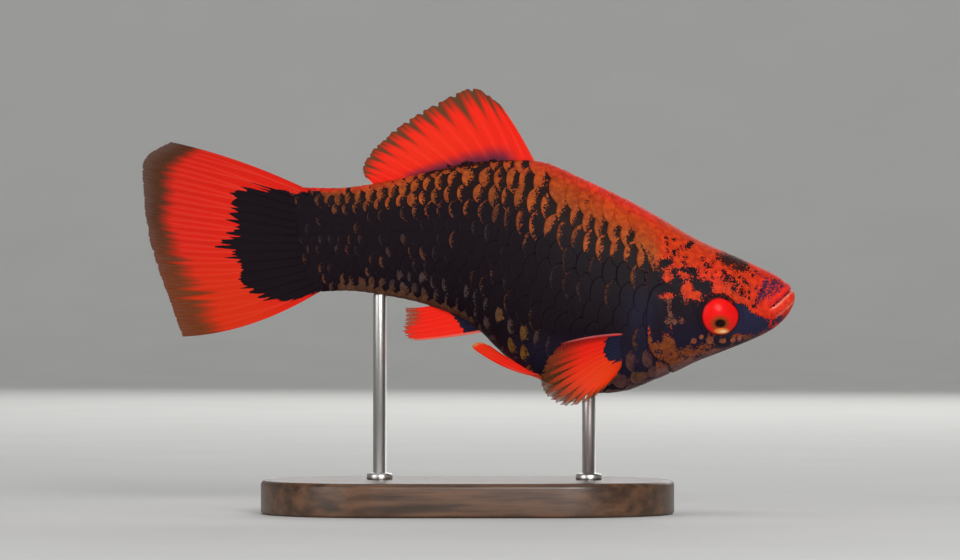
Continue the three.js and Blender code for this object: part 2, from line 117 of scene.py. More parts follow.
IRIS_LIT_RED = rgb(0.85, 0.008, 0.008)
IRIS_SHADED_RED = rgb(0.62, 0.018, 0.014)
IRIS_RIM = rgb(0.1, 0.008, 0.008)
HALO_BROWN = rgb(0.24, 0.045, 0.008)
# The gold crescent under the pupil: partly the iris's own gold, partly a painted highlight, palest in its
# core
GLINT_GOLD = rgb(0.88, 0.27, 0.05)
GLINT_HIGHLIGHT = rgb(1, 0.72, 0.4)
PUPIL_BLACK = rgb(0.009, 0.004, 0.002)

FIN_RED = rgb(0.92, 0.022, 0.009)
FIN_ORANGE = rgb(0.86, 0.055, 0.008)
FIN_DEEP = rgb(0.7, 0.017, 0.008)
FIN_PINK = rgb(0.92, 0.13, 0.08)
FIN_BROWN = rgb(0.2, 0.055, 0.016)
FIN_OLIVE = rgb(0.1, 0.04, 0.01)
FIN_RUST = rgb(0.2, 0.042, 0.008)
DORSAL_VIOLET = rgb(0.08, 0.02, 0.05)
ANAL_PINK = rgb(0.75, 0.22, 0.16)
PELVIC_YELLOW = rgb(0.8, 0.45, 0.14)
PECTORAL_BLUE = rgb(0.017, 0.018, 0.045)
# Painted shadow under the pectoral fin's leading ray, and a painted highlight along that ray
PECTORAL_LEAD_SHADOW = rgb(0.32, 0.008, 0.01)
PECTORAL_LEAD_HIGHLIGHT = rgb(0.85, 0.2, 0.2)

rng = np.random.default_rng(7)


# Curves and masks

def smooth(values, t):
    """A smooth curve through evenly spaced rows of values, at t counted in rows."""
    values = np.asarray(values, float)
    last = len(values) - 1
    i = np.clip(np.floor(t).astype(int), 0, last - 1)
    a, b, c, d = (values[np.clip(i + k, 0, last)] for k in (-1, 0, 1, 2))
    u = (t - i)[..., None]
    return b + 0.5 * u * (c - a + u * (2 * a - 5 * b + 4 * c - d + u * (3 * (b - c) + d - a)))


def smooth_point(points, t):
    """The same, with t from 0 to 1 along the whole list."""
    return smooth(points, np.asarray(t, float) * (len(points) - 1))


def step(low, high, x):
    """0 below low, 1 above high, and a smooth change between them."""
    t = np.clip((x - low) / (high - low), 0, 1)
    return t * t * (3 - 2 * t)


def mix(a, b, share):
    return a + (b - a) * share


def tint(colour, other, share):
    """A colour, or one for each point, moved towards another by a share for each point."""
    return mix(colour, other, np.asarray(share)[..., None])


def bell(x, width):
    return np.exp(-(x / width) ** 2)


def join3(x, y, z):
    return np.stack(np.broadcast_arrays(x, y, z), -1).astype(float)


def distance_to(points, x, z):
    """Distance from x, z to an open line of points."""
    points = np.asarray(points, float)
    best = np.full(np.shape(x), 1e9)
    for (ax, az), (bx, bz) in zip(points[:-1], points[1:]):
        length = (bx - ax) ** 2 + (bz - az) ** 2
        share = np.clip(((x - ax) * (bx - ax) + (z - az) * (bz - az)) / length, 0, 1)
        best = np.minimum(best, np.hypot(x - ax - share * (bx - ax), z - az - share * (bz - az)))
    return best


def inside_by(points, x, z):
    """How far x, z lies inside a closed outline, less than zero outside it."""
    points = np.asarray(points, float)
    inside = np.zeros(np.shape(x), bool)
    for (ax, az), (bx, bz) in zip(points, np.roll(points, -1, axis=0)):
        if az == bz:
            continue
        crosses = (az > z) != (bz > z)
        inside ^= crosses & (x < ax + (z - az) * (bx - ax) / (bz - az))
    distance = distance_to(np.vstack([points, points[:1]]), x, z)
    return np.where(inside, distance, -distance)


def inside_oval(oval, x, z):
    """How far x, z lies inside an oval, in about millimetres, less than zero outside it."""
    middle_x, middle_z, half_length, half_height, tilt = oval
    c, s = math.cos(math.radians(tilt)), math.sin(math.radians(tilt))
    dx, dz = x - middle_x, z - middle_z
    across, up = (dx * c + dz * s) / half_length, (dz * c - dx * s) / half_height
    return (1 - np.hypot(across, up)) * min(half_length, half_height)


# Body surface

def swing(x):
    """How far the sweep of the tail carries a point at x towards +Y."""
    return TAIL_SWING * np.maximum(0, (SWING_FROM - x) / (SWING_FROM - TAIL_EDGE)) ** 2


def swing_slope(x):
    span = SWING_FROM - TAIL_EDGE
    return -2 * TAIL_SWING * np.maximum(0, (SWING_FROM - x) / span) / span


def section_points(s, angle):
    """Points of the body before the tail's sweep, at s counted in sections and an angle round each."""
    row = smooth(SECTIONS, np.maximum(s, 0))
    past = np.clip(-s, 0, 1)
    top, bottom = row[..., 0:2].copy(), row[..., 2:4].copy()
    for end in (top, bottom):
        end[..., 0] -= STALK_END * past
    half = row[..., 4] * np.sqrt(1 - past ** 2)
    widest, upper, lower = row[..., 5], row[..., 6], row[..., 7]
    middle = bottom + (top - bottom) * widest[..., None]
    out, up = np.cos(angle), np.sin(angle)
    power = 2 / np.where(up >= 0, upper, lower)
    end = np.where(up[..., None] >= 0, top, bottom)
    xz = middle + (end - middle) * (np.abs(up) ** power)[..., None]
    y = np.abs(out) ** power * half
    return np.stack([xz[..., 0], y, xz[..., 1]], -1)


class Surface:
    """The left side of the body as a table over s, counted in sections, and w, the share of the way from the
    middle of the back to the middle of the belly. lines holds s along the columns of scales."""

    STEPS_A_SECTION = 34
    STEPS_DOWN = 180

    def __init__(self):
        self.s = np.linspace(-1, LAST, self.STEPS_A_SECTION * (LAST + 1) + 1)
        self.w = np.linspace(0, 1, self.STEPS_DOWN + 1)
        angle = np.linspace(math.pi / 2, -math.pi / 2, 4 * self.STEPS_DOWN + 1)
        points = section_points(self.s[:, None] + 0 * angle, angle + 0 * self.s[:, None])
        steps = np.linalg.norm(np.diff(points, axis=1), axis=-1) + 1e-9
        length = np.concatenate([np.zeros((len(self.s), 1)), np.cumsum(steps, axis=1)], axis=1)
        table = np.empty((len(self.s), len(self.w), 3))
        for k in range(len(self.s)):
            for axis in range(3):
                table[k, :, axis] = np.interp(self.w * length[k, -1], length[k], points[k, :, axis])
        self.points = table
        along = np.gradient(table, axis=0)
        down = np.gradient(table, axis=1)
        down[:, 0] = (0, 1, 0)
        down[:, -1] = (0, -1, 0)
        normals = np.cross(along, down)
        normals[:, (0, -1), 1] = 0
        self.normals = normals / np.maximum(np.linalg.norm(normals, axis=-1, keepdims=True), 1e-9)
        middle = len(self.w) // 2
        steps = np.linalg.norm(np.diff(table[:, middle], axis=0), axis=-1)
        self.travel = np.concatenate([[0], np.cumsum(steps)])
        slope = -(np.gradient(table, self.w, axis=1) * along).sum(-1) / (along ** 2).sum(-1)
        slope *= COLUMN_LEAN * (self.s[1] - self.s[0])
        self.lines = np.tile(self.s[:, None], (1, len(self.w)))
        for way in (-1, 1):
            j = middle
            while 0 <= j + way < len(self.w):
                rate = np.interp(self.lines[:, j], self.s, slope[:, j])
                moved = self.lines[:, j] + rate * (self.w[j + way] - self.w[j])
                self.lines[:, j + way] = np.clip(moved, self.s[0], LAST)
                j += way

    def read(self, table, s, w):
        i = np.clip((s - self.s[0]) / (self.s[1] - self.s[0]), 0, len(self.s) - 1.001)
        j = np.clip(w / (self.w[1] - self.w[0]), 0, len(self.w) - 1.001)
        i0, j0 = i.astype(int), j.astype(int)
        u, v = (i - i0)[..., None], (j - j0)[..., None]
        low = mix(table[i0, j0], table[i0, j0 + 1], v)
        high = mix(table[i0 + 1, j0], table[i0 + 1, j0 + 1], v)
        return mix(low, high, u)

    def at(self, s, w, side):
        """Place and outward normal before the sweep. w past 0 or 1 goes on over the midline."""
        s, w = np.broadcast_arrays(s, w)
        over = (w < 0) | (w > 1)
        w = np.where(w < 0, -w, np.where(w > 1, 2 - w, w))
        flip = np.stack([np.ones(s.shape), side * np.where(over, -1, 1), np.ones(s.shape)], -1)
        place = self.read(self.points, s, w) * flip
        normal = self.read(self.normals, s, w) * flip
        return place, normal / np.linalg.norm(normal, axis=-1, keepdims=True)

    def s_after(self, travelled, w=0.5):
        """s at a distance along the middle of the side from its rear end, carried down or up its column of
        scales to w."""
        start = np.interp(travelled, self.travel, self.s)
        start, w = np.broadcast_arrays(start, w)
        w = np.where(w < 0, -w, np.where(w > 1, 2 - w, w))
        return self.read(self.lines[..., None], start, w)[..., 0]

    def side_of(self, x, z):
        """Half width of the body at x and z."""
        low, high = np.full(np.shape(x), 0.0), np.full(np.shape(x), float(LAST))
        for _ in range(32):
            s = (low + high) / 2
            row = smooth(SECTIONS, s)
            share = (z - row[..., 3]) / (row[..., 1] - row[..., 3])
            behind = mix(row[..., 2], row[..., 0], share) < x
            low, high = np.where(behind, s, low), np.where(behind, high, s)
        row = smooth(SECTIONS, low)
        share = (z - row[..., 3]) / (row[..., 1] - row[..., 3])
        above = share > row[..., 5]
        out = np.where(above, (share - row[..., 5]) / (1 - row[..., 5]), 1 - share / row[..., 5])
        power = np.where(above, row[..., 6], row[..., 7])
        return row[..., 4] * np.maximum(0, 1 - np.clip(out, 0, 1) ** power) ** (1 / power)

    def edge(self, column, x):
        """Height of the back (column 0) or the keel of the belly (column 2) at x."""
        s = np.linspace(0, LAST, 2000)
        rows = smooth(SECTIONS, s)
        order = np.maximum.accumulate(rows[:, column])
        return np.interp(x, order, rows[:, column + 1])


body = Surface()


def placed(points):
    """Swept, lifted to the swimming height, and in metres."""
    points = np.array(points, float)
    points[..., 1] += swing(points[..., 0])
    points[..., 2] += SWIM_HEIGHT
    return points * MM


# Meshes

def make_object(name, points, faces, material, values=None, colours=None):
    """An object from points in metres and lists of corners, with values and colours kept on its points."""
    mesh = bpy.data.meshes.new(name)
    mesh.from_pydata(np.asarray(points).reshape(-1, 3).tolist(), [], faces)
    mesh.polygons.foreach_set("use_smooth", [True] * len(mesh.polygons))
    for key, value in (values or {}).items():
        layer = mesh.attributes.new(key, "FLOAT", "POINT")
        layer.data.foreach_set("value", np.ravel(value).astype(np.float32))
    for key, value in (colours or {}).items():
        rgba = np.ones((len(mesh.vertices), 4), np.float32)
        rgba[:, :3] = np.reshape(value, (-1, 3))
        layer = mesh.attributes.new(key, "FLOAT_COLOR", "POINT")
        layer.data.foreach_set("color", rgba.ravel())
    mesh.materials.append(material)
    mesh.update()
    obj = bpy.data.objects.new(name, mesh)
    bpy.context.scene.collection.objects.link(obj)
    return obj


def grid_faces(rows, columns, start=0, flip=False):
    """Quads of a grid of points."""
    k = np.arange(rows - 1)[:, None] * columns + np.arange(columns - 1) + start
    corners = [k, k + 1, k + columns + 1, k + columns]
    if flip:
        corners.reverse()
    return np.stack(corners, -1).reshape(-1, 4).tolist()


def shell_faces(rows, columns, start=0):
    """Faces of a closed shell: one grid of points, then a second one under it, joined round their edges."""
    count = rows * columns
    faces = grid_faces(rows, columns, start) + grid_faces(rows, columns, start + count, flip=True)
    first, last = np.arange(columns), (rows - 1) * columns + np.arange(columns)
    left, right = np.arange(rows) * columns, np.arange(rows) * columns + columns - 1
    for edge, turn in ((first, True), (last, False), (left, False), (right, True)):
        a, b = edge[:-1] + start, edge[1:] + start
        rim = np.stack([a, a + count, b + count, b], -1)
        faces += (rim[:, ::-1] if turn else rim).tolist()
    return faces


def twice(values):
    """Values of a grid of points as a list, for the shell's upper side and then for its under side."""
    return np.tile(values.reshape(-1, values.shape[-1]), (2, 1))


def tube_faces(rings, around, flip=False):
    """Quads between rings of points, each ring closed on itself."""
    k = np.arange(rings - 1)[:, None] * around
    j = np.arange(around)
    after = (j + 1) % around
    corners = [k + j, k + after, k + after + around, k + j + around]
    if flip:
        corners[1:] = corners[:0:-1]
    return np.stack(corners, -1).reshape(-1, 4).tolist()


def fan_faces(point, ring, around, flip=False):
    """Triangles from one point to a closed ring of points, of which the first is named."""
    j = np.arange(around)
    pair = [ring + (j + 1) % around, ring + j]
    if flip:
        pair.reverse()
    return np.stack([np.full(around, point)] + pair, -1).tolist()


def turned(profile, around, run=0):
    """Rings round the upright axis from a profile of radius and height, drawn out by run each way along x."""
    angle = np.linspace(0, 2 * math.pi, around, endpoint=False)
    c, s = np.cos(angle), np.sin(angle)
    pulled = np.clip(c * 1e6, -1, 1) * run
    return np.concatenate([np.stack([pulled + r * c, r * s, np.full(around, z)], -1) for r, z in profile])


# Markings. A point has a light colour, a dark one, and a value over zero where the dark one shows.
# Beside x and z the numbers are places in millimetres, and elsewhere shares.

DARK_START = [
    (-27, 17), (-23.8, 16.4), (-21.6, 13.7), (-16.1, 13.9), (-10.1, 15.4), (-4.1, 18.5), (1.9, 20.6),
    (6, 20), (9, 17.6), (13.9, 14.5), (19.9, 10.7), (25.9, 7.4), (31.9, 3.1), (36.4, -1.2), (40.6, -3),
    (45.6, -5.8), (50, -8),
]
DARK_FULL = [
    (-27, 13.2), (-23.8, 12.9), (-21.6, 9.6), (-16.1, 8.6), (-10.1, 8.1), (-4.1, 7.8), (1.9, 6.8),
    (7.9, 4.4), (13.9, 1.6), (19.9, -0.6), (25.9, -2), (31.9, -1.2), (36.4, -2), (40.6, -3.6), (45.6, -6.4),
    (50, -9),
]


def line_at(points, x):
    xs, zs = np.array(points).T
    return np.interp(x, xs, zs)


def depth_into_dark(x, z):
    """0 where the first dark scales lie under the orange back, 1 where the flank is all dark."""
    start, full = line_at(DARK_START, x), line_at(DARK_FULL, x)
    return (start - z) / (start - full)


def below_back(x, z):
    return body.edge(0, x) - z


def above_keel(x, z):
    return z - body.edge(2, x)


def low_marks(x, z):
    """The shares of the low flank, the throat and the stalk's keel, where the scales' edges show again."""
    reach = np.interp(x, [-14, 0, 8, 16], [5.5, 7, 10.5, 10.5])
    flank = step(1.1 * reach, 0.6 * reach, above_keel(x, z)) * step(-20, -8, x) * step(20, 15, x)
    throat = step(15, 21, x) * step(-9.2, -11, z)
    keel = step(2.5, 1, above_keel(x, z)) * step(-22, -18, x) * step(4, -2, x)
    return flank, throat, keel


def crest(x, z):
    """1 on the red top edge of the tail stalk's end."""
    edge = np.maximum(step(0.75, 0.35, below_back(x, z)), step(12.7, 13.1, z) * step(-23.2, -24.2, x))
    return edge * step(-19, -21, x)


def flank_light(x, z, dim, chance=0.5):
    """The colour of the scales' pale edges: orange on the back, tan on the flank, faint where dim nears 1."""
    depth = depth_into_dark(x, z)
    flank, throat, keel = low_marks(x, z)
    colour = tint(ORANGE, RED, 0.9 * step(2.4, 0.6, below_back(x, z)))
    colour = tint(colour, TAN, step(-0.3, 0.3, depth))
    colour = tint(colour, DIM_TAN, step(0.35, 0.95, depth + 0.3 * (chance - 0.5)))
    colour = tint(colour, DIM_TAN, 0.75 * step(-11, -18, x) * step(0, 0.35, depth))
    colour = tint(colour, tint(GREY, OCHRE, step(0.5, 0.85, chance) * step(1, 8, x)), flank)
    colour = tint(colour, tint(MAUVE, OCHRE, 0.5 * step(0.5, 0.9, chance)), throat)
    colour = tint(colour, 1.9 * MAUVE, 0.8 * throat * step(2.5, 0.4, above_keel(x, z)))
    colour = tint(colour, KEEL_BROWN, keel)
    colour = tint(colour, FAINT, dim * (1 - keel))
    return tint(colour, 0.9 * RED, crest(x, z))


def flank_shade(x, z):
    """The dark colour of the flank, bluer behind the gill cover and towards the throat."""
    blue = np.maximum(0.6 * bell(x - 26, 2.6) * step(1, -5, z), 0.5 * step(-3, 12, x) * step(-7, -11, z))
    warm = step(0.75, 0.35, depth_into_dark(x, z))
    return tint(tint(BLACK, UMBER, warm), SLATE, blue)


SLATE_PATCH = [
    (39.5, -3), (40.9, -3.6), (42.4, -4.5), (43, -5.1), (44.2, -5.6), (45.2, -5.8), (45.5, -6.6),
    (45.1, -7.8), (43.9, -8.3), (42.4, -8.4), (40.6, -8.2), (38.9, -8.7), (37.1, -8.8), (35.8, -8.6),
    (38, -7), (39.5, -5),
]
CHEEK_PATCH = [
    (24, -0.4), (25.9, -0.6), (27.1, -0.2), (27.1, 1.4), (28.1, 1.4), (30.7, 1.7), (33.4, 2), (34.3, 1.7),
    (34.4, 0.1), (36.5, -0.2), (36.7, -1.5), (36.2, -3.2), (36, -7.5), (35.8, -8.6), (35.5, -9.8),
    (34.3, -10.5), (33.1, -9.8), (32.3, -10.2), (31.1, -10.1), (30.7, -9), (29.2, -8), (29, -9.2),
    (27.4, -9.2), (26.9, -6.8), (26.6, -12), (24, -12),
]
# Blots of the head: x, z, half length, half height, and tilt in degrees
CROWN = (39.8, 2.6, 2.5, 1.15, -25)
DARK_BLOTS = [
    (29.5, 2.5, 1.6, 0.8, 25), (30.8, 3.9, 0.4, 0.55, 0), (41, -1.9, 0.5, 0.8, 10),
    (33.1, 5.2, 0.7, 0.4, 30), (35.8, 2, 0.35, 0.45, 0), (38.3, 1, 0.3, 0.3, 0), (39.4, -0.2, 1, 0.42, -20),
    (39.8, -1.4, 0.4, 0.6, 0), (45.7, -6.5, 0.3, 1, -20), (46.8, -5.9, 0.8, 0.5, 40), CROWN,
    (42.6, -3.9, 0.5, 0.3, -30), (45.2, -1.7, 1.9, 0.42, 42), (44.5, -0.9, 0.45, 1.4, -15),
    (45.8, -0.6, 0.45, 0.7, 30), (43.8, -2.3, 0.6, 0.3, 40), (46.6, -1.3, 0.7, 0.25, 40),
    (37.4, -9.4, 4.5, 1, 5), (38.7, -10.5, 1.2, 0.35, 14), (34.7, -11.5, 1, 0.3, 8),
    (28.3, -10.6, 0.5, 0.3, 0), (32.6, -11.4, 0.4, 0.4, 0),
]
LIGHT_BLOTS = [
    (32.7, -1.5, 0.8, 1.45, 0), (33.9, -2.4, 1.15, 0.72, -12), (29.8, 0.7, 0.65, 1, 0),
    (29.6, -2.5, 0.8, 0.4, 0), (30, -4.7, 0.25, 1.4, 6), (30.3, -6.1, 0.8, 0.28, 0),
    (31.9, -6.1, 0.4, 0.28, 0), (26.1, 0.5, 0.55, 1, 0), (32.3, 0.6, 1, 0.5, -20),
    (33, -10.9, 0.8, 0.55, 0), (36.4, -11, 1.5, 0.35, 14), (35.6, -10.05, 1.1, 0.28, 4),
    (43.2, -8.7, 1.2, 0.26, 27), (41.9, -9.4, 0.9, 0.22, 22),
]
# Round pale spots under the eye: x, z and radius
SPOTS = [
    (33.8, -9.1, 0.42), (34.9, -8.55, 0.38), (36.2, -9.05, 0.56), (38.1, -9.1, 0.52), (39.7, -9, 0.42),
    (40.7, -8.75, 0.38),
]
SPECKS = [
    (x, float(np.interp(x, [27, 47], [rise, rise - 8])), size, 1.3 * size, 30)
    for x, rise, size in zip(rng.uniform(27, 45.5, 76), rng.uniform(2.2, 8, 76), rng.uniform(0.08, 0.19, 76))
]
UNDER_CHEEK = -0.2  # how far the tan of the lower cheek is from going dark, which lets specks through
CLEAR = -0.5  # how far the middle of a light mark is from going dark


def head_dark(x, z):
    """Over zero where the head is dark, in about millimetres from the edge of the dark."""
    dark = np.maximum(inside_by(SLATE_PATCH, x, z), inside_by(CHEEK_PATCH, x, z))
    low = step(-7.6, -8.6, z + 0.3 * (x - 40))
    dark = mix(dark, np.maximum(dark, UNDER_CHEEK), low)
    for blot in DARK_BLOTS + SPECKS:
        dark = np.maximum(dark, inside_oval(blot, x, z))
    for blot in LIGHT_BLOTS:
        dark = np.minimum(dark, np.maximum(CLEAR, -inside_oval(blot, x, z)))
    inner = step(0.12, 0.4, inside_oval(CROWN, x, z))
    dark = mix(dark, np.minimum(dark, 0.42), inner)
    dark = np.minimum(dark, np.maximum(CLEAR, 4 * spot_reach(x, z)))
    chin = step(-10.3, -10.9, z - 0.32 * (x - 38)) * step(33.5, 35.5, x)
    dark = mix(dark, -0.06, 0.7 * chin)
    cover = inside_by(gill_outline(), x, z)
    # Painted shade: a dark line along the gape, in the slit between the lips.
    along, over = mouth_frame(x, z)
    dark = np.maximum(dark, mix(-1, 0.4 - 4 * np.abs(over - 0.02), step(-0.7, -0.2, along)))
    # Painted shadow: a dark line just outside the lower rear edge of the gill cover, in the gap under its
    # rim.
    gill_edge_shadow = step(-4, -6, z) * step(34, 32, x)
    dark = np.maximum(dark, mix(-1, 0.55 - 3 * np.abs(cover + 0.08), gill_edge_shadow))
    ring = 0.5 - 2 * np.abs(eye_reach(x, z) - 0.18)
    return np.maximum(dark, ring)


def spot_reach(x, z):
    """Distance outside the nearest of the spots under the eye."""
    return np.min([np.hypot(x - bx, z - bz) - radius for bx, bz, radius in SPOTS], axis=0)


def eye_reach(x, z):
    """Distance outside the eye's opening, which is drawn in towards the snout and up."""
    dx, dz = x - EYE["x"], z - EYE["z"]
    return np.hypot(dx, dz) - EYE["opening"] * drawn_in(np.degrees(np.arctan2(dz, dx)))


def drawn_in(angle):
    """The eye's outline as a share of its radius, flatter where it faces the snout and up."""
    return 1 - EYE["flat"] * bell((angle - BROW + 180) % 360 - 180, 36)


def mouth_frame(x, z):
    """Distance along the mouth's line from its corner, and over that line."""
    c, s = math.cos(MOUTH["rise"]), math.sin(MOUTH["rise"])
    dx, dz = x - MOUTH["x"], z - MOUTH["z"]
    return dx * c + dz * s, dz * c - dx * s


def head_light(x, z):
    """The light colour of the head: orange to red, brown on the low cheek, red on the lips with a painted
    highlight along them, and painted light on the underside.
    """
    red = 0.25 + 0.5 * step(40, 45, x) + 0.4 * bell(np.hypot(x - 36.5, z - 0.5), 2.5)
    colour = tint(ORANGE, RED, np.clip(red, 0, 1))
    colour = tint(colour, LOW_CHEEK, step(-7.4, -8.6, z))
    colour = tint(colour, 1.3 * MAUVE, step(-10.6, -12.2, z - 0.32 * (x - 34)))
    colour = tint(colour, SPOT_TAN, step(0.1, -0.1, spot_reach(x, z)))
    # Painted light: the colour is made lighter near the keel of the head, to make up for the shade under the
    # chin.
    colour = colour * (1 + 0.9 * step(2.4, 0.4, above_keel(x, z)) * step(43, 40, x))[..., None]
    colour = tint(colour, COVER_TAN, step(-2.4, -3.2, z) * step(33, 32, x) * step(-7.6, -6.6, z))
    along, over = mouth_frame(x, z)
    front = step(-0.8, 0.1, along)
    colour = tint(colour, UPPER_LIP, front * step(0, 0.05, over) * step(1.3, 1.1, over))
    colour = tint(colour, LOWER_LIP, front * step(0, -0.05, over) * step(-1.8, -1.55, over))
    # A painted highlight: pale lines along the lower lip, next to the gape and at its lower edge.
    pale = 0.6 * front * bell(over + 1.62, 0.14) + 0.9 * front * bell(over + 0.24, 0.1)
    return tint(colour, LIP_HIGHLIGHT, np.clip(pale, 0, 0.8))


def head_shade(x, z):
    """The dark colour of the head: slate before the eye, brown on the crown and violet on the snout."""
    colour = tint(1.15 * BLACK, SLATE, 0.5 * step(-3, -9, z))
    slate = step(-0.3, 0.5, inside_by(SLATE_PATCH, x, z)) * step(38.5, 40.5, x)
    colour = tint(colour, EYE_SLATE, slate)
    colour = tint(colour, CROWN_BROWN, 0.8 * step(-0.1, 0.35, inside_oval(CROWN, x, z)))
    colour = tint(colour, SNOUT_VIOLET, step(42.5, 44.2, x) * step(-5, -3.4, z))
    return tint(colour, JAW_VIOLET, step(45, 46.2, x) * step(-4.4, -5.2, z))


def skin_markings(x, z):
    """Light colour, dark colour and dark value of the skin."""
    depth = depth_into_dark(x, z)
    head = np.maximum(step(26.2, 27, x) * step(1.5, 0.5, z), step(27.5, 29.5, x))
    dark = mix(mix(1.2 * (depth - 0.45), -0.3, crest(x, z)), head_dark(x, z), head)
    light = tint(flank_light(x, z, np.zeros(np.shape(x))), head_light(x, z), head)
    shade = tint(flank_shade(x, z), head_shade(x, z), step(28, 30, x))
    return light, shade, dark


# Skin

SKIN_HALF = 130  # points of a ring on each side
TRUNK_STEP = 0.55  # between rings under the scales
HEAD_STEP = 0.15
HEAD_FROM = 8.45  # in sections, just behind the gill cover
JAW_FOLD = [(45.6, -4.3), (45.5, -5.8), (45, -7.6)]
CHEEK_FOLD = [(33.6, -0.6), (33.9, -4.5), (34.9, -8.2), (37.5, -9.6), (41.5, -9.3)]


def gill_outline():
    steps = (np.arange(24) + 0.5) / 24
    return np.vstack([smooth_point(GILL_REAR, steps), smooth_point(GILL_FRONT, steps)])


def relief(x, z):
    """How far the skin stands out over the plain body: gill cover, lips, eye rims, nostrils and folds."""
    inside = inside_by(gill_outline(), x, z)
    from_front = distance_to(smooth_point(GILL_FRONT, np.linspace(0, 1, 20)), x, z)
    cover = mix(0.1, 1, step(0, 3.5, from_front)) * mix(0.3, 1, step(0, 3, above_keel(x, z)))
    out = 0.45 * step(-0.03, 0.22, inside) * cover
    out -= 0.2 * bell(inside + 0.16, 0.15) * step(0.2, 1.5, from_front)

    along, over = mouth_frame(x, z)
    front = step(-0.8, 0.7, along)
    upper, lower = MOUTH["upper_lip"], MOUTH["lower_lip"]
    tip = mix(1, 0.25, step(47, 48.9, x))
    out += 0.4 * tip * front * np.sqrt(np.maximum(0, 1 - ((over - upper) / upper) ** 2))
    out += 0.45 * tip * front * np.sqrt(np.maximum(0, 1 - ((over + lower) / lower) ** 2))
    out -= 0.5 * bell(over, 0.11) * step(-0.4, 0.1, along)
    out -= 0.16 * bell(distance_to(JAW_FOLD, x, z), 0.16)

    reach = eye_reach(x, z)
    angle = np.degrees(np.arctan2(z - EYE["z"], x - EYE["x"]))
    out += (0.24 + 0.42 * bell(angle - BROW, 38)) * bell(reach - 0.12, 0.36)
    out = mix(out, -1.7, step(0, -0.35, reach))

    for nx, nz, radius in NOSTRILS:
        r = np.hypot(x - nx, z - nz) / radius
        out += 0.1 * bell(r - 1, 0.3) - 0.5 * np.exp(-(r / 0.7) ** 4)

    out -= 0.09 * bell(distance_to(smooth_point(CHEEK_FOLD, np.linspace(0, 1, 16)), x, z), 0.14)
    return out


def skin_rings():
    """s of each ring: coarse under the scales and fine on the head."""
    start, gill = np.interp([0, HEAD_FROM], body.s, body.travel)
    end = body.travel[-1]
    past = -np.sin(np.linspace(math.pi / 2, 0, 9)[:-1])
    trunk = body.s_after(np.arange(start, gill, TRUNK_STEP))
    return np.concatenate([past * 0.985, trunk, body.s_after(np.arange(gill, end - 0.02, HEAD_STEP)), [LAST]])


def make_skin(material):
    """One closed skin from the end of the tail stalk to the lips, sunk where scales lie on it."""
    s = skin_rings()
    half = SKIN_HALF
    w = np.concatenate([np.linspace(0, 1, half + 1), np.linspace(1, 0, half + 1)[1:-1]])
    side = np.concatenate([np.ones(half + 1), -np.ones(half - 1)])
    place, normal = body.at(s[:, None], w[None, :], side)
    normal[:, (w == 0) | (w == 1), 1] = 0
    x, z = place[..., 0], place[..., 2]
    sunk = SCALE_DEPTH * (1 - step(27, 29, x + 0.4 * np.maximum(z, 0)))
    raised = relief(x, z) * step(24, 26, x) - sunk
    light, shade, dark = skin_markings(x, z)
    place = place + normal * raised[..., None]
    rings, around = x.shape
    faces = tube_faces(rings, around, flip=True)
    for start, turn in ((0, False), ((rings - 1) * around, True)):
        for i in range(half):
            corners = [i, i + 1, (around - i - 1) % around, (around - i) % around]
            corners = [start + corner for corner in dict.fromkeys(corners)]
            faces.append(corners[::-1] if turn else corners)
    colours = {"light": light, "shade": shade}
    return make_object("skin", placed(place), faces, material, {"dark": dark}, colours)


# Scales

UPPER_ROWS = 6  # rows in the upper piece of each side
SCALE_POINTS = (15, 13)  # along and across
SCALE_LENGTH = 1.9  # in pitches of its row, most of it under the scale behind
SCALE_HALF_WIDTH = 0.76  # in rows
SCALE_RISE = 0.125
SCALE_DOME = 0.025
SCALE_THICK = 0.035
MAP_MIDDLE = {-1: 0.27, 1: 0.77}
MAP_LENGTH = 0.46
MAP_PATCH = 0.0015


def scale_grid():
    """Points of one scale along it and across it, with how far each is from its free edge."""
    long, wide = SCALE_POINTS
    a, b = np.meshgrid(np.linspace(0, 1, long), np.linspace(-1, 1, wide), indexing="ij")
    end = 1 - 0.34 * np.abs(b) ** 2.6
    along = a * end
    across = b * (0.82 + 0.18 * step(0, 0.35, a))
    return along, across, end - along


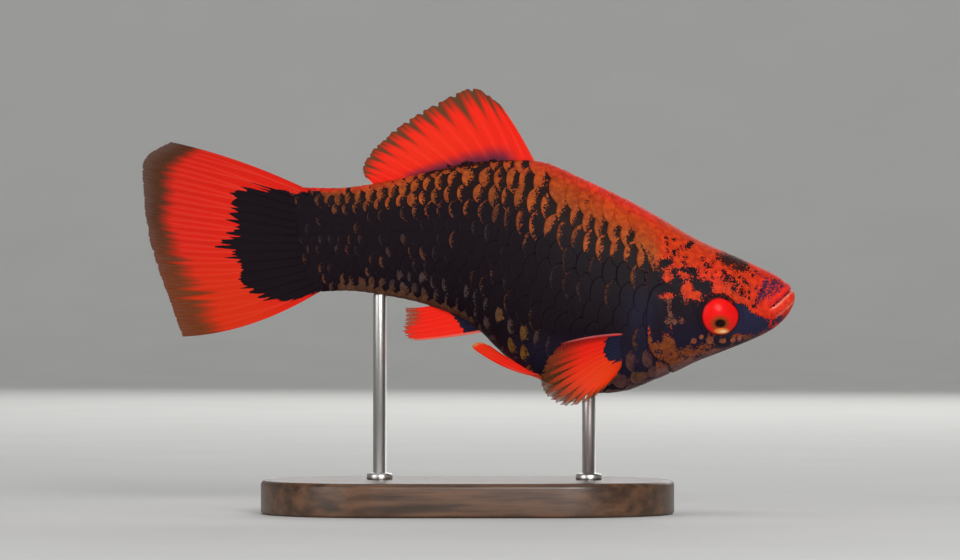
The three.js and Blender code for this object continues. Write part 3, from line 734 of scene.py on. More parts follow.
def scale_dark(along, across, to_edge, x, z, w, chance):
    """Over zero where a scale is dark: a blot that grows down the flank and leaves a pale rim."""
    depth = depth_into_dark(x, z) + 0.24 * (chance[0] - 0.5) + 0.08 * np.sin(1.1 * x + 0.6 * z)
    blot = np.interp(depth, [-0.16, 0.03, 0.25, 0.6, 0.9], [-0.7, 0.3, 0.95, 1.7, 4])
    tall = np.interp(depth, [0, 0.22], [1, 2.6])
    first = blot - np.hypot((along - 0.56 - 0.12 * across) / 0.24, across / tall)

    flank, throat, keel = low_marks(x, z)
    dim = scale_dim(x, z, chance)
    golden = 0.12 * bell(np.hypot(x - 8.5, z + 8), 4.5)
    low = (0.21 + golden) * flank * step(0.1, 0.95 - golden, chance[2])
    low = low + 0.6 * throat * (0.4 + 0.8 * chance[2])
    rim = np.interp(depth, [0, 0.3, 0.45, 0.6, 0.75, 0.9], [0.3, 0.27, 0.23, 0.16, 0.105, 0.055])
    rim = np.maximum(np.maximum(rim * (0.6 + 0.8 * chance[1]), low), 0.7 * keel)
    rim = rim * mix(1, 0.6, step(-8, -16, x) * step(0.1, 0.4, depth) * (1 - keel))
    rim = rim * mix(1, step(0.4, 0.7, chance[3]), dim)
    rim = rim + 0.12 * fleck(x, z, chance)

    lean = 0.4 * (chance[5] - 0.5) - 0.12 * math.cos(math.pi * w)
    short = mix(np.interp(depth, [0.05, 0.35], [0.5, 1.7]), 3.4, np.maximum(dim, 0.7 * flank))
    short = mix(short, 0.7, keel)
    second = 3.2 * (to_edge - rim * (1 - short * (across - lean) ** 2)) + 0.9 * step(0.06, 0.02, rim)
    return np.minimum(first, second)


def scale_dim(x, z, chance):
    """Nears 1 where a scale's pale edge hardly shows, on most of the middle of the flank."""
    flank, throat, keel = low_marks(x, z)
    plain = np.clip(1 - flank * step(0.1, 0.4, chance[2]) - throat - keel, 0, 1)
    return step(0.6, 1.0, depth_into_dark(x, z)) * plain * (0.3 + 0.7 * step(0.12, 0.4, chance[4]))


def fleck(x, z, chance):
    """Nears 1 on the few scales of the rear flank's dark whose free edge shows in its middle."""
    return step(4, -6, x) * step(0.55, 0.75, depth_into_dark(x, z)) * step(0.55, 0.95, chance[1])


def scale_roots(side):
    """Each scale's root on one side: the way travelled to it, w, the pitch of its row there, and the row."""
    roots = []
    start = np.interp(-0.55, body.s, body.travel)
    for row in range(SCALE_ROWS):
        w = (row + 0.5) / SCALE_ROWS
        travelled = start + (0.5 if row % 2 else 0)
        while True:
            place, _ = body.at(body.s_after(travelled, w), np.array(w), side)
            x, z = place[0], place[2]
            pitch = np.interp(x, [-24, -14, 0, 15, 32], [1.45, 1.65, 2.0, 2.15, 2.25])
            front = np.interp(z, [-13, -9, -1, 1, 3, 12], [31.5, 29, 29, 30.2, 33, 36])
            if x > front:
                break
            roots.append((travelled, w, pitch, row))
            travelled += pitch
    return roots


def scales_of(side, rows):
    """Points, faces, values, colours and map of the scales in some rows of one side."""
    along, across, to_edge = scale_grid()
    shape = along.shape
    points, faces, light, shade, dark, maps = [], [], [], [], [], []
    for travelled, w, pitch, row in scale_roots(side):
        chance = rng.random(6)
        if row not in rows:
            continue
        length = SCALE_LENGTH * pitch * (1 + 0.04 * (chance[5] - 0.5))
        ws = w + across * SCALE_HALF_WIDTH / SCALE_ROWS
        place, normal = body.at(body.s_after(travelled + pitch - along * length, ws), ws, side)
        centre, _ = body.at(body.s_after(travelled - 0.2 * pitch, w), np.array(w), side)
        x, z = centre[0], centre[2]
        lift = -SCALE_DEPTH + SCALE_RISE * along + SCALE_DOME * (1 - across ** 2)
        upper = place + normal * lift[..., None]
        under = place + normal * (lift - SCALE_THICK * step(0, 0.12, to_edge) - 0.01)[..., None]
        start = len(points) * 2 * along.size
        shell = shell_faces(*shape, start=start)
        points.append(np.stack([upper, under]).reshape(-1, 3))
        faces += shell if side < 0 else [face[::-1] for face in shell]

        px, pz = place[..., 0], place[..., 2]
        tone = np.full(shape, float(scale_dim(x, z, chance) * (1 - 0.18 * fleck(x, z, chance))))
        light.append(twice(flank_light(px, pz, tone, chance[2]) * (0.85 + 0.3 * chance[0])))
        shade.append(twice(flank_shade(px, pz)))
        value = scale_dark(along, across, to_edge, x, z, w, chance)
        saddle = step(1.1, 0.3, below_back(px, pz)) * step(-8, -6, px) * step(8.6, 7, px)
        value = np.maximum(value, mix(-1, 0.28, saddle))
        dark.append(twice(mix(value, -0.3, crest(px, pz))[..., None]))
        u = MAP_MIDDLE[side] + MAP_LENGTH * (travelled / body.travel[-1] - 0.5)
        v = 0.04 + 0.92 * w
        maps.append(twice(np.stack([u + MAP_PATCH * (1 - 2 * along), v - MAP_PATCH * across], -1)))
    points, light, shade, dark, maps = (np.concatenate(part) for part in (points, light, shade, dark, maps))
    return points, faces, {"dark": dark}, {"light": light, "shade": shade}, maps


def keep_map(obj, spots):
    """Gives the object the map that its colours are kept on."""
    loops = np.empty(len(obj.data.loops), np.int32)
    obj.data.loops.foreach_get("vertex_index", loops)
    layer = obj.data.uv_layers.new(name="OFBake")
    layer.data.foreach_set("uv", spots[loops].astype(np.float32).ravel())


def make_scales(material):
    pieces = []
    for word, side in SIDES:
        for part, rows in (("upper", range(0, UPPER_ROWS)), ("lower", range(UPPER_ROWS, SCALE_ROWS))):
            points, faces, values, colours, spots = scales_of(side, rows)
            obj = make_object(f"scales_{part}_{word}", placed(points), faces, material, values, colours)
            keep_map(obj, spots)
            pieces.append(obj)
    return pieces


# Eyes. The ovals are x, z, half length, half height and tilt.

PUPIL = (37.65, -6.5, 0.82, 0.62, 0)
HALO = (37.65, -6.45, 1.15, 0.88, 0)
# The glint is a gold crescent of the iris with a painted highlight over it; its core is the palest part of
# the highlight.
GLINT = (37.9, -7.65, 1.1, 0.42, 0)
GLINT_HIGHLIGHT_CORE = (38.1, -7.73, 0.62, 0.2, 0)
EYE_TURN = 0.62 * math.pi  # how far the eyeball goes from its front towards its back


def eye_colours(x, z, out):
    """The iris and pupil by place on the eye, with painted light on the iris. out is the distance from its
    axis.
    """
    # Painted light: the iris is lighter red towards the top, as lit, and deeper red towards the bottom, as in
    # shade.
    colour = tint(IRIS_SHADED_RED, IRIS_LIT_RED, step(-8, -5.5, z))
    colour = tint(colour, IRIS_RIM, step(2.6, 2.88, out))
    colour = tint(colour, HALO_BROWN, 0.9 * step(-0.5, 0.15, inside_oval(HALO, x, z)))
    # The gold of the iris under the pupil, with a painted highlight on it that is palest in its core.
    colour = tint(colour, GLINT_GOLD, step(-0.12, 0.14, inside_oval(GLINT, x, z)))
    colour = tint(colour, GLINT_HIGHLIGHT, step(-0.08, 0.14, inside_oval(GLINT_HIGHLIGHT_CORE, x, z)))
    return tint(colour, PUPIL_BLACK, step(-0.14, 0.14, inside_oval(PUPIL, x, z)))


def eye_axis(side):
    """Centre of the eyeball and its outward axis, found as the solids have them."""
    r = EYE["radius"]
    x, z = EYE["x"], EYE["z"]
    ahead, behind, over, under, here = body.side_of(
        np.array([x + r, x - r, x, x, x]), np.array([z, z, z + r, z - r, z]))
    out = np.array([(behind - ahead) / (2 * r), 1, (under - over) / (2 * r)])
    out /= np.linalg.norm(out)
    level = (ahead + behind + over + under + 4 * here) / 8
    centre = np.array([x, level, z]) - EYE["sunk"] * out
    return centre * (1, side, 1), out * (1, side, 1)


def make_eye(word, side, material):
    """A flattened ball with its front bulging out a little, turned to face along the eye's axis."""
    centre, axis = eye_axis(side)
    rings, around = 56, 96
    polar = np.linspace(0, EYE_TURN, rings)[:, None]
    angle = np.linspace(0, 2 * math.pi, around, endpoint=False)[None, :]
    wide = np.sin(polar)
    flat = join3(wide * np.cos(angle), np.cos(polar), wide * np.sin(angle))
    bulge = 0.12 * bell(polar, 0.75)[..., None] * np.array([0, 1, 0])
    shape = (flat + bulge) * np.array([EYE["radius"], EYE["depth"], EYE["radius"]])
    shape[..., (0, 2)] *= mix(1, drawn_in(np.degrees(angle)), wide ** 2)[..., None]
    turn = Vector((0, 1, 0)).rotation_difference(Vector(axis)).to_matrix()
    points = shape @ np.array(turn).T + centre
    colour = eye_colours(points[..., 0], points[..., 2], EYE["radius"] * wide)
    faces = tube_faces(rings, around)[around:] + fan_faces(0, around, around)
    faces.append(list(range((rings - 1) * around, rings * around)))
    return make_object(f"eyeball_{word}", placed(points), faces, material, None, {"paint": colour})


# Fins. t goes from the first ray to the last, and u and v from the root to the edge, v as if it were whole.

FILM_HALF = 0.055  # half thickness of the membranes
THINNEST_HALF = 0.03
TIP_HALF = 0.06
FLESH = 0.35  # how much thicker each side is at the root
RAY_WIDTHS = (0.13, 0.055)  # at root and edge, in spaces between rays
FORK_RUN = 0.45  # the share of a ray's length over which a fork opens
NUDGE = 0.004

TAIL_ROOTS = [(-23.9, 13.5), (-24, 9.5), (-23.4, 5.6), (-22.6, 2), (-21.4, -1.3)]
TAIL_TIPS = [(-44.9, 20.8), (-48.9, 18.2), (-49, 12.8), (-48.4, 7.4), (-46.9, 2), (-45, -3.2), (-43.1, -8.6)]
DORSAL_TIPS = [
    (4.9, 26.3), (0.8, 28.8), (-5.2, 26.2), (-10.1, 23.2), (-13.7, 20.2), (-15.7, 17.1), (-15.4, 15.4),
]
ANAL_TIPS = [(-8.5, -9.15), (-9.8, -7.9), (-9.5, -6.6), (-9.3, -5.4), (-9.5, -4.2)]
PELVIC_TIPS = [(0.5, -10), (0.9, -9.5), (1.9, -9.35), (3.2, -9.8)]
PECTORAL_TIPS = [
    (13.9, -9.4), (11.7, -11.9), (10.9, -14.6), (11.6, -17.1), (14.2, -18.7), (17.3, -18.3), (20, -16.5),
    (21.8, -14.6),
]

# Outlines of the dark patches on the fins
TAIL_PATCH = [
    (-19, 13.4), (-23.6, 13.2), (-25.1, 13.2), (-29.3, 13.8), (-32.6, 13.9), (-34.6, 13.4), (-35.6, 11.5),
    (-35.3, 10.1), (-34.9, 8.6), (-35.4, 7.1), (-37, 5.5), (-35.3, 4.4), (-35.7, 3.5), (-34.4, 2.6),
    (-34.3, 0.7), (-34.1, -1.2), (-32.3, -2), (-30.8, -3), (-27.4, -3.3), (-25.1, -2.8), (-22.4, -1.9),
    (-19, -1.5),
]
ANAL_PATCH = [
    (-4.6, -3), (-3.4, -4.3), (-2.6, -5.1), (-1.9, -5.9), (-1.3, -6.6), (-0.8, -7.4), (-0.5, -7.9),
    (1.6, -8.4), (3, -8), (0, -3),
]
PECTORAL_PATCH = [
    (21.2, -8.4), (20.5, -9.2), (20.2, -10.5), (20.7, -11.6), (21.6, -12.3), (22.5, -12.2), (23.6, -11.2),
    (26, -9.5), (26, -7.6),
]


def on_curve(points, t, y):
    p = smooth_point(points, t)
    return join3(p[..., 0], y, p[..., 1])


def on_edge(column, x, rise):
    return join3(x, 0, body.edge(column, x) + rise)


def branches(rays, t, u, forks):
    """How far a point is from the nearest ray or branch, and from its ray, both in spaces between rays."""
    spacing = 1 / (rays - 1)
    nearest = np.round(t / spacing) * spacing
    off = (t - nearest) / spacing
    lines = [np.zeros(np.shape(u))]
    spread = 0.25
    for fork in forks:
        part = spread * step(fork, min(1, fork + FORK_RUN), u)
        lines = [line + sign * part for line in lines for sign in (-1, 1)]
        spread /= 2
    near = np.min([np.abs(off - line) for line in lines], axis=0)
    return near, off


def fin_place(form, t, v):
    """Places on a fin before the sweep: curves from its root to its tips that bow out in their middle."""
    a, b = form["root"](t), form["tip"](t)
    middle = (a + b) / 2 + form["bow"](t)
    v = v[..., None]
    return a * (1 - v) ** 2 + 2 * middle * v * (1 - v) + b * v * v


def fin_facing(form, sheet, t, v):
    """The direction across a fin's membrane, after the sweep."""
    along = fin_place(form, t, np.minimum(v + NUDGE, 1)) - fin_place(form, t, np.maximum(v - NUDGE, 0))
    over = fin_place(form, np.minimum(t + NUDGE, 1), v) - fin_place(form, np.maximum(t - NUDGE, 0), v)
    for way in (along, over):
        way[..., 1] += swing_slope(sheet[..., 0]) * way[..., 0]
    facing = np.cross(along, over)
    return facing / np.linalg.norm(facing, axis=-1, keepdims=True)


def make_fin(form, material):
    """A closed membrane, thickened along its rays and their branches, with a ragged edge."""
    chance = np.random.default_rng(form["seed"])
    rays, forks, rows = form["rays"], form["forks"], form["rows"]
    count = (rays - 1) * form["columns"] + 1
    u, t = np.broadcast_arrays(np.linspace(0, 1, rows)[:, None], np.linspace(0, 1, count)[None, :])
    near, off = branches(rays, t, u, forks)
    between = np.maximum(2 * np.abs(off), 0.8 * bell(off, 0.1) * step(forks[0], 1, u))
    ridge = bell(near, mix(*RAY_WIDTHS, u))
    tip_near, _ = branches(rays, t, np.ones(u.shape), forks)
    cut = form["cut"] * step(0.04, 0.14, tip_near)
    split = form["split"](t) * step(0.34, 0.5, np.abs(off))
    wander = np.interp(t, np.linspace(0, 1, 3 * rays), chance.normal(0, form["wander"], 3 * rays))
    v = u * (1 - (cut + split + np.abs(wander)) * step(0.45, 1, u))

    sheet = fin_place(form, t, v)
    ray = mix(form["ray_half"], TIP_HALF, u ** 0.7)
    half = FILM_HALF + (ray - FILM_HALF) * ridge + FLESH * step(0.16, 0, u)
    half = np.maximum(half * mix(1, 0.5, step(0.93, 1, u)), THINNEST_HALF)
    middle, skin = placed(sheet), fin_facing(form, sheet, t, v) * (half * MM)[..., None]
    points = np.stack([middle + skin, middle - skin]).reshape(-1, 3)
    light, shade, dark, cover = form["look"](t, v, ridge, between, sheet[..., 0], sheet[..., 2], chance)
    values = {"dark": twice(dark[..., None]), "cover": twice(cover[..., None])}
    colours = {"light": twice(light), "shade": twice(np.broadcast_to(shade, light.shape))}
    return make_object(form["name"], points, shell_faces(rows, count), material, values, colours)


def faded(v, between, margin, width, colour, edge, thinnest):
    """The colour and cover of a membrane that fades past its margin, first between its rays."""
    gone = step(-0.3, 0.42, (v - margin) / width + between ** 1.3 - 1)
    end = 0.85 * step(margin + 0.35 * width, margin + width, v)
    return tint(colour, edge, np.maximum(gone, end)), mix(1, thinnest, gone)


def streaks(t, count, chance):
    """Values about 0 that change from ray to ray, spread over the fin."""
    return np.interp(t, np.linspace(0, 1, count), chance.normal(0, 1, count))


# Each look gives a fin's light colour, its dark colour, its dark value and how much it covers.

def tail_look(t, v, ridge, between, x, z, chance):
    colour = tint(mix(FIN_RED, FIN_DEEP, 0.75), FIN_PINK, 0.22 * ridge)
    colour = tint(colour, 0.8 * FIN_DEEP, 0.5 * between * step(0.3, 0.9, v))
    colour = tint(colour, 0.85 * FIN_ORANGE, 0.6 * step(0.5, 0.85, t) * step(0.2, 0.5, v))
    margin = np.interp(t, [0, 0.15, 0.45, 0.7, 1], [0.8, 0.83, 0.88, 0.85, 0.83])
    margin = margin + mix(0.016, 0.045, step(0.45, 0.75, t)) * streaks(t, 90, chance)
    edge = step(margin - mix(0.06, 0.14, step(0.45, 0.8, t)), margin + 0.05, v)
    low = step(0.4, 0.8, t)
    colour = tint(colour, tint(0.5 * FIN_BROWN, FIN_RUST, low), edge)
    cover = mix(1, mix(0.8, 0.9, ridge), edge) * mix(1, mix(0.75, 0.9, low), step(margin + 0.05, 1, v))
    spikes = streaks(t, 110, chance)
    dark = inside_by(TAIL_PATCH, x, z) + 0.5 * spikes * step(-27, -33, x) + 0.1 * spikes
    return colour, 1.5 * BLACK, 1.6 * dark, cover


def dorsal_look(t, v, ridge, between, x, z, chance):
    colour = tint(FIN_RED, FIN_PINK, 0.07 * ridge + 0.5 * step(0.02, 0, t))
    colour = tint(colour, FIN_DEEP, 0.35 * between)
    colour = tint(colour, FIN_ORANGE, 0.35 * bell(t - 0.5, 0.3) * bell(v - 0.5, 0.25))
    margin = 0.64 - 0.04 * step(0.3, 0.8, t) + 0.16 * step(0.1, 0, t) - 0.1 * bell(t - 0.22, 0.12)
    margin = margin + 0.035 * streaks(t, 26, chance)
    colour, cover = faded(v, between, margin, 1.04 - margin, colour, mix(FIN_OLIVE, FIN_BROWN, 0.6), 0.84)
    base = step(0.3, 0.08, v + 0.015 * streaks(t, 40, chance)) * step(0.08, 0.2, t) * step(0.84, 0.7, t)
    colour = tint(colour, DORSAL_VIOLET, 0.92 * base)
    dark = 9 * (0.11 * bell(t - 0.4, 0.26) + 0.03 * streaks(t, 50, chance) - v)
    return colour, BLACK, np.minimum(dark, 3), cover


def anal_look(t, v, ridge, between, x, z, chance):
    colour = tint(FIN_RED, FIN_PINK, 0.12 * ridge)
    colour = tint(colour, FIN_DEEP, 0.4 * between * step(0.4, 0.9, v))
    margin = mix(0.84, 0.56, step(0.1, 0.9, t)) + 0.03 * streaks(t, 20, chance)
    rear = mix(FIN_BROWN, FIN_ORANGE, 0.25)
    colour, cover = faded(v, between, margin, 1.06 - margin, colour, rear, 0.62)
    end = step(margin + 0.05, margin + 0.26, v)
    colour = tint(tint(colour, rear, 0.85 * end), ANAL_PINK, 0.75 * step(0.08, 0.02, t))
    dark = 1.6 * (inside_by(ANAL_PATCH, x, z) + 0.12 * streaks(t, 30, chance))
    return colour, SLATE, np.where(t < 0.05, -1, dark), cover * mix(1, 0.8, end)


def pelvic_look(t, v, ridge, between, x, z, chance):
    colour = tint(FIN_RED, FIN_ORANGE, 0.4 * step(0.5, 0.8, v))
    colour = tint(colour, FIN_PINK, 0.15 * ridge + 0.6 * step(0.2, 0.05, t) * step(0.6, 0.4, v))
    tip = step(0.93, 0.99, v + 0.012 * streaks(t, 16, chance))
    return tint(colour, PELVIC_YELLOW, 0.85 * tip), BLACK, np.full(t.shape, -1.0), mix(1, 0.85, tip)


def pectoral_look(t, v, ridge, between, x, z, chance):
    colour = tint(FIN_RED, FIN_ORANGE, step(0.15, 0.6, t))
    colour = tint(colour, FIN_DEEP, 0.4 * between * step(0.35, 0.7, v))
    margin = mix(0.5, 0.62, step(0.2, 0.55, t)) + 0.02 * streaks(t, 15, chance)
    tip = step(margin, 1.0, v)
    slit = step(0, 0.25, (v - margin) / 0.5 + between - 1) * step(0.12, 0.3, t)
    colour = tint(tint(colour, 1.15 * FIN_BROWN, 0.9 * tip), FIN_OLIVE, 0.8 * slit)
    cover = mix(mix(1, mix(0.5, 0.75, step(0.2, 0.6, t)), tip), 0.4, slit)
    # Painted shadow in dark red under the leading ray, and a painted highlight in pink along the ray itself.
    colour = tint(colour, PECTORAL_LEAD_SHADOW, 0.75 * step(0.12, 0.05, t) * step(0.15, 0.35, v))
    colour = tint(colour, PECTORAL_LEAD_HIGHLIGHT, 0.85 * step(0.03, 0.012, t) * step(1, 0.8, v))
    dark = 1.6 * (inside_by(PECTORAL_PATCH, x, z) + 0.16 * streaks(t, 34, chance))
    return colour, tint(SLATE, PECTORAL_BLUE, step(-0.1, 0.9, dark)), np.where(t < 0.035, -1, dark), cover


def middle_fins():
    """The forms of the tail, dorsal and anal fins by their nodes."""
    return {
        "fin_caudal": dict(
            name="tail_fin", look=tail_look, seed=1, rays=17, columns=20, rows=84, ray_half=0.17,
            forks=(0.25, 0.55), cut=0.004, split=lambda t: 0.004, wander=0.004,
            root=lambda t: on_curve(TAIL_ROOTS, t, 0),
            tip=lambda t: on_curve(TAIL_TIPS, t, 0.7 * np.sin(7 * t)),
            bow=lambda t: join3(0, 0, mix(1.4, -3.2, t))),
        "fin_dorsal": dict(
            name="dorsal_fin", look=dorsal_look, seed=2, rays=15, columns=16, rows=70, ray_half=0.15,
            forks=(0.5,), cut=0.006, split=lambda t: 0.035 * step(0.03, 0.15, t), wander=0.014,
            root=lambda t: on_edge(0, mix(10.5, -13.6, t), -1),
            tip=lambda t: on_curve(DORSAL_TIPS, t, 0.6 * np.sin(5 * t)),
            bow=lambda t: join3(mix(0.45, 0, t), 0, mix(0.3, 0.5, t))),
        "fin_anal": dict(
            name="anal_fin", look=anal_look, seed=3, rays=9, columns=18, rows=50, ray_half=0.15,
            forks=(0.5,), cut=0.02, split=lambda t: 0.05, wander=0.015,
            root=lambda t: on_edge(2, mix(2.3, -4, t), mix(0.3, 1, step(0, 0.6, t))),
            tip=lambda t: on_curve(ANAL_TIPS, t, 0.3 * np.sin(4 * t)),
            bow=lambda t: join3(0, 0, mix(-0.4, -0.5, t))),
    }


def paired_fins(word, side):
    """The forms of the pelvic and pectoral fins of one side by their nodes."""
    def shoulder(t):
        x, z = mix(24.3, 22.9, t), mix(-8, -12.7, t)
        return join3(x, side * (body.side_of(x, z) - 0.9), z)

    def deep_split(t):
        return mix(0.04, 0.2, step(0.3, 0.7, t))

    return {
        f"fin_pelvic_{word}": dict(
            name=f"pelvic_fin_{word}", look=pelvic_look, seed=5 + side, rays=6, columns=16, rows=44,
            ray_half=0.15, forks=(0.5,), cut=0.015, split=lambda t: 0.02, wander=0.01,
            root=lambda t: join3(mix(11.2, 9.9, t), side * mix(1.9, 1.1, t), mix(-14.6, -13.5, t)),
            tip=lambda t: on_curve(PELVIC_TIPS, t, side * mix(2.9, 1, t)),
            bow=lambda t: join3(-0.3, 0, mix(-1.6, -0.6, t))),
        f"fin_pectoral_{word}": dict(
            name=f"pectoral_fin_{word}", look=pectoral_look, seed=9 + side, rays=15, columns=18, rows=64,
            ray_half=0.15, forks=(0.8,), cut=0.012, split=deep_split, wander=0.012,
            root=shoulder,
            tip=lambda t: on_curve(PECTORAL_TIPS, t, side * mix(11.2, 8.9, t)),
            bow=lambda t: join3(0, side * 0.9, mix(0.7, -0.2, t))),
    }


def make_fins(material):
    forms = middle_fins()
    for word, side in SIDES:
        forms.update(paired_fins(word, side))
    return {node: make_fin(form, material) for node, form in forms.items()}


# Stand

BASE = {"length": 62, "width": 36, "thick": 5, "top_bevel": 0.8, "foot_bevel": 0.35}
ROD_RADIUS = 1
COLLAR_RADIUS = 1.95
ROD_FRONT_X = 18.2
ROD_REAR_X = -13.2
ROD_SINK = 0.25  # how far a rod's rounded top stands into the scales


def base_profile():
    """Radius and height from the middle of the underside over the rounded edge to the middle of the top."""
    bevel, foot_bevel, thick = BASE["top_bevel"], BASE["foot_bevel"], BASE["thick"]
    turn = np.linspace(0, math.pi / 2, 9)
    foot = [(foot_bevel * (1 - math.sin(a)), foot_bevel * (1 - math.cos(a))) for a in turn]
    edge = [(bevel * (1 - math.cos(a)), thick - bevel + bevel * math.sin(a)) for a in turn]
    half = BASE["width"] / 2
    inset = [(half - 0.2, 0), (6, 0)] + foot + [(0, 1.6)] + edge + [(6, thick), (half - 0.2, thick)]
    return [(half - in_by, z) for in_by, z in inset]


def make_base(material):
    around = 160
    profile = base_profile()
    points = turned(profile, around, (BASE["length"] - BASE["width"]) / 2)
    last = len(points) - around
    faces = tube_faces(len(profile), around)
    faces += [list(range(around))[::-1], list(range(last, last + around))]
    return make_object("base", points * MM, faces, material)


def rod_profile(foot, top):
    """Radius and height up a rod: a collar on the base, the shaft, and a rounded top against the belly."""
    wide, thin = COLLAR_RADIUS, ROD_RADIUS
    return [
        (0, foot), (wide - 0.05, foot), (wide, foot + 0.1), (wide, foot + 0.7), (wide - 0.15, foot + 0.9),
        (thin + 0.15, foot + 1), (thin, foot + 1.05), (thin, top - 0.3), (thin - 0.15, top - 0.05), (0, top),
    ]


def make_rod(word, x, material):
    """A rod under the keel of the belly at x, with one point in the middle of each end."""
    around = 40
    profile = rod_profile(BASE["thick"], body.edge(2, x) + SWIM_HEIGHT + ROD_SINK)
    rings = turned(profile[1:-1], around)
    ends = [(0, 0, profile[0][1]), (0, 0, profile[-1][1])]
    points = np.concatenate([rings, ends]) + (x, swing(x), 0)
    low, high = len(rings), len(rings) + 1
    faces = tube_faces(len(profile) - 2, around) + fan_faces(low, 0, around)
    faces += fan_faces(high, low - around, around, flip=True)
    return make_object(f"rod_{word}", points * MM, faces, material)


# Materials

WOOD_DARK = (0.035, 0.015, 0.007, 1)
WOOD_WARM = (0.13, 0.058, 0.026, 1)
WOOD_PORE = (0.02, 0.009, 0.005, 1)
STEEL = (0.62, 0.61, 0.59, 1)
PALER = (1.14, 1.16, 1.0, 1)  # what a light colour is multiplied by in its mottling
DEEPER = (0.8, 0.66, 0.8, 1)
IRIS_STREAK = (0.8, 0.75, 0.75, 1)


class Nodes:
    """A short way to build a material's nodes. A socket is given a number, a colour or another's output."""

    SOCKETS = {
        "colour": "Base Color", "rough": "Roughness", "spec": "Specular IOR Level", "metal": "Metallic",
        "coat": "Coat Weight", "coat_rough": "Coat Roughness", "normal": "Normal",
    }

    def __init__(self, name):
        self.material = bpy.data.materials.new(name)
        self.material.use_nodes = True
        self.tree = self.material.node_tree
        self.shader = self.tree.nodes["Principled BSDF"]
        self.out = self.tree.nodes["Material Output"]

    def add(self, kind, inputs=None, **settings):
        node = self.tree.nodes.new("ShaderNode" + kind)
        for key, value in settings.items():
            setattr(node, key, value)
        for key, value in (inputs or {}).items():
            self.put(node.inputs[key], value)
        return node

    def put(self, socket, value):
        if isinstance(value, bpy.types.NodeSocket):
            self.tree.links.new(value, socket)
        else:
            socket.default_value = value

    def shade(self, **values):
        for key, value in values.items():
            self.put(self.shader.inputs[self.SOCKETS[key]], value)

    def attribute(self, name, output="Color"):
        return self.add("Attribute", attribute_name=name).outputs[output]

    def math(self, operation, a, b=0.0, c=0.0):
        return self.add("Math", {0: a, 1: b, 2: c}, operation=operation).outputs[0]

    def noise(self, size, detail=2.0, stretch=None):
        """Noise whose features are about size millimetres across, from -0.5 to 0.5."""
        where = self.add("TexCoord").outputs["Object"]
        if stretch:
            where = self.add("Mapping", {"Vector": where, "Scale": stretch}).outputs[0]
        node = self.add("TexNoise", {"Vector": where, "Scale": 1 / (size * MM), "Detail": detail})
        return self.math("SUBTRACT", node.outputs[0], 0.5)

    def ramp(self, value, low, high):
        ends = {"Value": value, "From Min": low, "From Max": high}
        return self.add("MapRange", ends, interpolation_type="SMOOTHSTEP").outputs[0]

    def blend(self, share, a, b, kind="MIX"):
        return self.add("Mix", {0: share, 6: a, 7: b}, data_type="RGBA", blend_type=kind).outputs[2]

    def mix_shaders(self, share, a, b):
        return self.add("MixShader", {0: share, 1: a, 2: b}).outputs[0]

    def bump(self, height, distance, strength):
        node = self.add("Bump", {"Height": height, "Distance": distance * MM, "Strength": strength})
        self.shade(normal=node.outputs[0])


def marked_material(name, speckle):
    """Light and dark markings with a speckled border, read from the surface's own values."""
    n = Nodes(name)
    light, shade = n.attribute("light"), n.attribute("shade")
    broad = n.noise(1.3, 1.0)
    value = n.math("MULTIPLY_ADD", n.noise(0.26, 3.0), speckle, n.attribute("dark", "Fac"))
    share = n.ramp(n.math("MULTIPLY_ADD", broad, 0.8, value), -0.05, 0.07)
    paler, deeper = (n.blend(1.0, light, by, "MULTIPLY") for by in (PALER, DEEPER))
    mottled = n.blend(n.ramp(n.noise(0.8, 4.0), -0.16, 0.18), deeper, paler)
    n.shade(colour=n.blend(share, mottled, shade), rough=0.5, spec=0.06)
    n.bump(n.math("MULTIPLY_ADD", broad, 0.8, n.noise(0.35)), 0.05, 0.35)
    return n.material


def fin_material():
    """A membrane that lets some light through and, where its cover is under 1, shows what is behind it."""
    n = Nodes("fin")
    speckle = n.math("MULTIPLY", n.noise(0.4), 0.9)
    share = n.ramp(n.math("ADD", n.attribute("dark", "Fac"), speckle), -0.1, 0.15)
    colour = n.blend(share, n.attribute("light"), n.attribute("shade"))
    n.shade(colour=colour, rough=0.5, spec=0.08)
    through = n.add("BsdfTranslucent", {"Color": colour}).outputs[0]
    solid = n.mix_shaders(0.34, n.shader.outputs[0], through)
    clear = n.add("BsdfTransparent").outputs[0]
    cover = n.math("MAXIMUM", n.attribute("cover", "Fac"), share)
    n.put(n.out.inputs["Surface"], n.mix_shaders(cover, clear, solid))
    n.bump(n.noise(0.3), 0.02, 0.3)
    return n.material


def eye_material():
    n = Nodes("eye")
    paint = n.attribute("paint")
    streak = n.ramp(n.noise(0.35, 3.0), -0.4, 0.5)
    colour = n.blend(streak, n.blend(1.0, paint, IRIS_STREAK, "MULTIPLY"), paint)
    n.shade(colour=colour, rough=0.35, spec=0.05, coat=0.06, coat_rough=0.03)
    return n.material


def wood_material():
    n = Nodes("base_wood")
    grain = n.noise(1.6, 5.0, (0.12, 1.0, 1.0))
    pores = n.noise(0.35, 2.0, (0.05, 1.0, 1.0))
    colour = n.blend(n.ramp(grain, -0.22, 0.25), WOOD_DARK, WOOD_WARM)
    colour = n.blend(n.ramp(pores, 0.1, 0.28), colour, WOOD_PORE)
    rough = n.math("ADD", n.math("MULTIPLY", grain, 0.25), 0.42)
    n.shade(colour=colour, rough=rough, spec=0.4, coat=0.25, coat_rough=0.2)
    n.bump(n.math("ADD", grain, n.math("MULTIPLY", pores, 0.6)), 0.06, 0.4)
    return n.material


def steel_material():
    n = Nodes("rod_steel")
    lines = n.noise(0.25, 2.0, (1.0, 1.0, 12.0))
    n.shade(colour=STEEL, rough=n.math("ADD", n.math("MULTIPLY", lines, 0.2), 0.32), metal=1.0)
    n.bump(lines, 0.01, 0.4)
    return n.material


# Stage, in metres

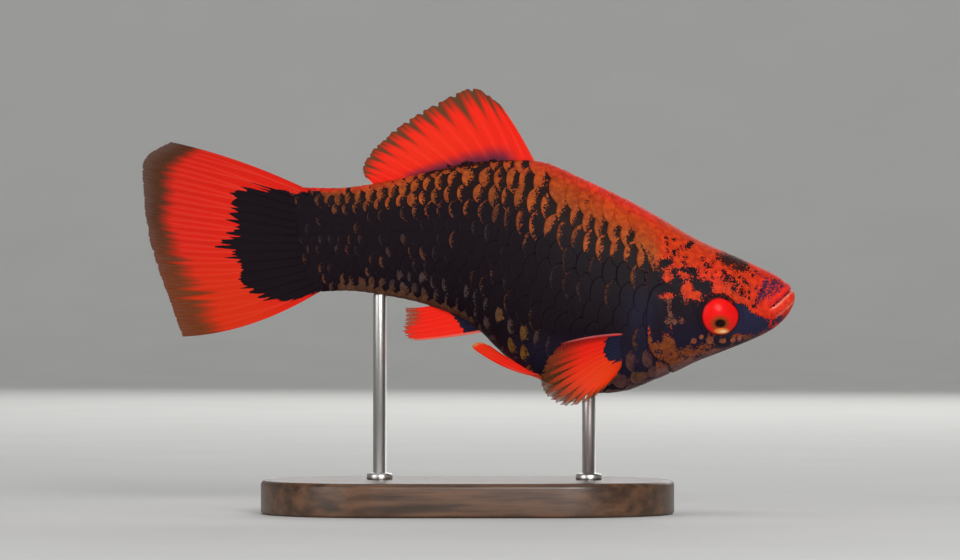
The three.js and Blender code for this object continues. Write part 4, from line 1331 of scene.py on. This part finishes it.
FLOOR_COLOURS = (0.62, 0.615, 0.6, 1), (0.59, 0.585, 0.57, 1)
FLOOR_RADIUS = 1.1
FLOOR_BEND = 0.7
WALL_HEIGHT = 4.0
FLOOR_DROP = 0.0001  # keeps the floor from lying in the base's own underside


def make_floor():
    """A floor that curves up into a wall, far behind the model and all round its sides."""
    n = Nodes("backdrop")
    n.shade(colour=n.blend(n.ramp(n.noise(40), -0.4, 0.4), *FLOOR_COLOURS), rough=0.8, spec=0.2)
    around = 72
    radius, bend = FLOOR_RADIUS, FLOOR_BEND
    turn = np.linspace(0, math.pi / 2, 16)
    profile = [(0.02, 0), (0.6, 0)] + [(radius + bend * math.sin(a), bend * (1 - math.cos(a))) for a in turn]
    profile.append((radius + bend, WALL_HEIGHT))
    faces = tube_faces(len(profile), around, flip=True) + [list(range(around))]
    floor = make_object("floor", turned(profile, around), faces, n.material)
    floor.location.z = -FLOOR_DROP
    return floor


def make_light(name, place, size, power, target=(0, 0, 0.03)):
    lamp = bpy.data.lights.new(name, "AREA")
    lamp.shape = "RECTANGLE"
    lamp.size, lamp.size_y = size
    lamp.energy = power
    obj = bpy.data.objects.new(name, lamp)
    obj.location = place
    obj.rotation_euler = (Vector(target) - Vector(place)).to_track_quat("-Z", "Y").to_euler()
    bpy.context.scene.collection.objects.link(obj)
    return obj


def make_lights():
    return [
        make_light("key", (0.25, -0.9, 0.34), (0.4, 0.4), 7.6),
        make_light("fill", (-0.7, -0.6, 0.25), (0.6, 0.6), 2.8),
        make_light("top", (0, 0.1, 0.9), (0.9, 0.7), 1.7),
        make_light("back", (0.2, 0.8, 0.4), (0.8, 0.5), 2.5),
        make_light("wall", (0, 0.5, 0.9), (0.9, 0.5), 3, (0, 1.8, 0.35)),
    ]


PIXEL = 0.15  # millimetres of the fish's own plane to one pixel of a picture 960 wide
PICTURE = (960, 560)
FISH_PIXEL = (467.5, 513)  # the picture's column at x = 0 and its row at z = 0
CAMERA_AWAY = 0.9
SENSOR = 36  # millimetres wide
SKY = (0.9, 0.95, 1, 1)
SKY_STRENGTH = 0.4


def make_camera():
    lens = bpy.data.cameras.new("camera")
    lens.sensor_width = SENSOR
    lens.lens = SENSOR * CAMERA_AWAY / (PICTURE[0] * PIXEL * MM)
    lens.clip_start = 0.01
    camera = bpy.data.objects.new("camera", lens)
    x = (PICTURE[0] / 2 - FISH_PIXEL[0]) * PIXEL * MM
    z = (FISH_PIXEL[1] - PICTURE[1] / 2) * PIXEL * MM
    camera.location = (x, -CAMERA_AWAY, z)
    camera.rotation_euler = (math.radians(90), 0, 0)
    bpy.context.scene.collection.objects.link(camera)
    bpy.context.scene.camera = camera
    return camera


def make_world():
    world = bpy.data.worlds.new("studio")
    world.use_nodes = True
    sky = world.node_tree.nodes["Background"]
    sky.inputs["Color"].default_value = SKY
    sky.inputs["Strength"].default_value = SKY_STRENGTH
    bpy.context.scene.world = world
    bpy.context.scene.view_settings.view_transform = "Standard"


# The whole

def dress(piece, slot, *nodes):
    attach(piece, "root")
    if nodes:
        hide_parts(*nodes)


dress(make_skin(marked_material("skin", 2.1)), "red_skin",
      "head", "jaw_lower", "gill_cover_right", "gill_cover_left", "trunk", "tail_stalk")
for piece in make_scales(marked_material("scales", 2.2)):
    dress(piece, "dark_skin")
for word, side in SIDES:
    dress(make_eye(word, side, eye_material()), "eye", f"eye_{word}")
for node, piece in make_fins(fin_material()).items():
    dress(piece, "fin", node)
dress(make_base(wood_material()), "base_wood", "stand_base")
steel = steel_material()
dress(make_rod("front", ROD_FRONT_X, steel), "rod_steel", "stand_rod_front")
dress(make_rod("rear", ROD_REAR_X, steel), "rod_steel", "stand_rod_rear")

make_floor()
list(make_lights())
make_camera()
make_world()
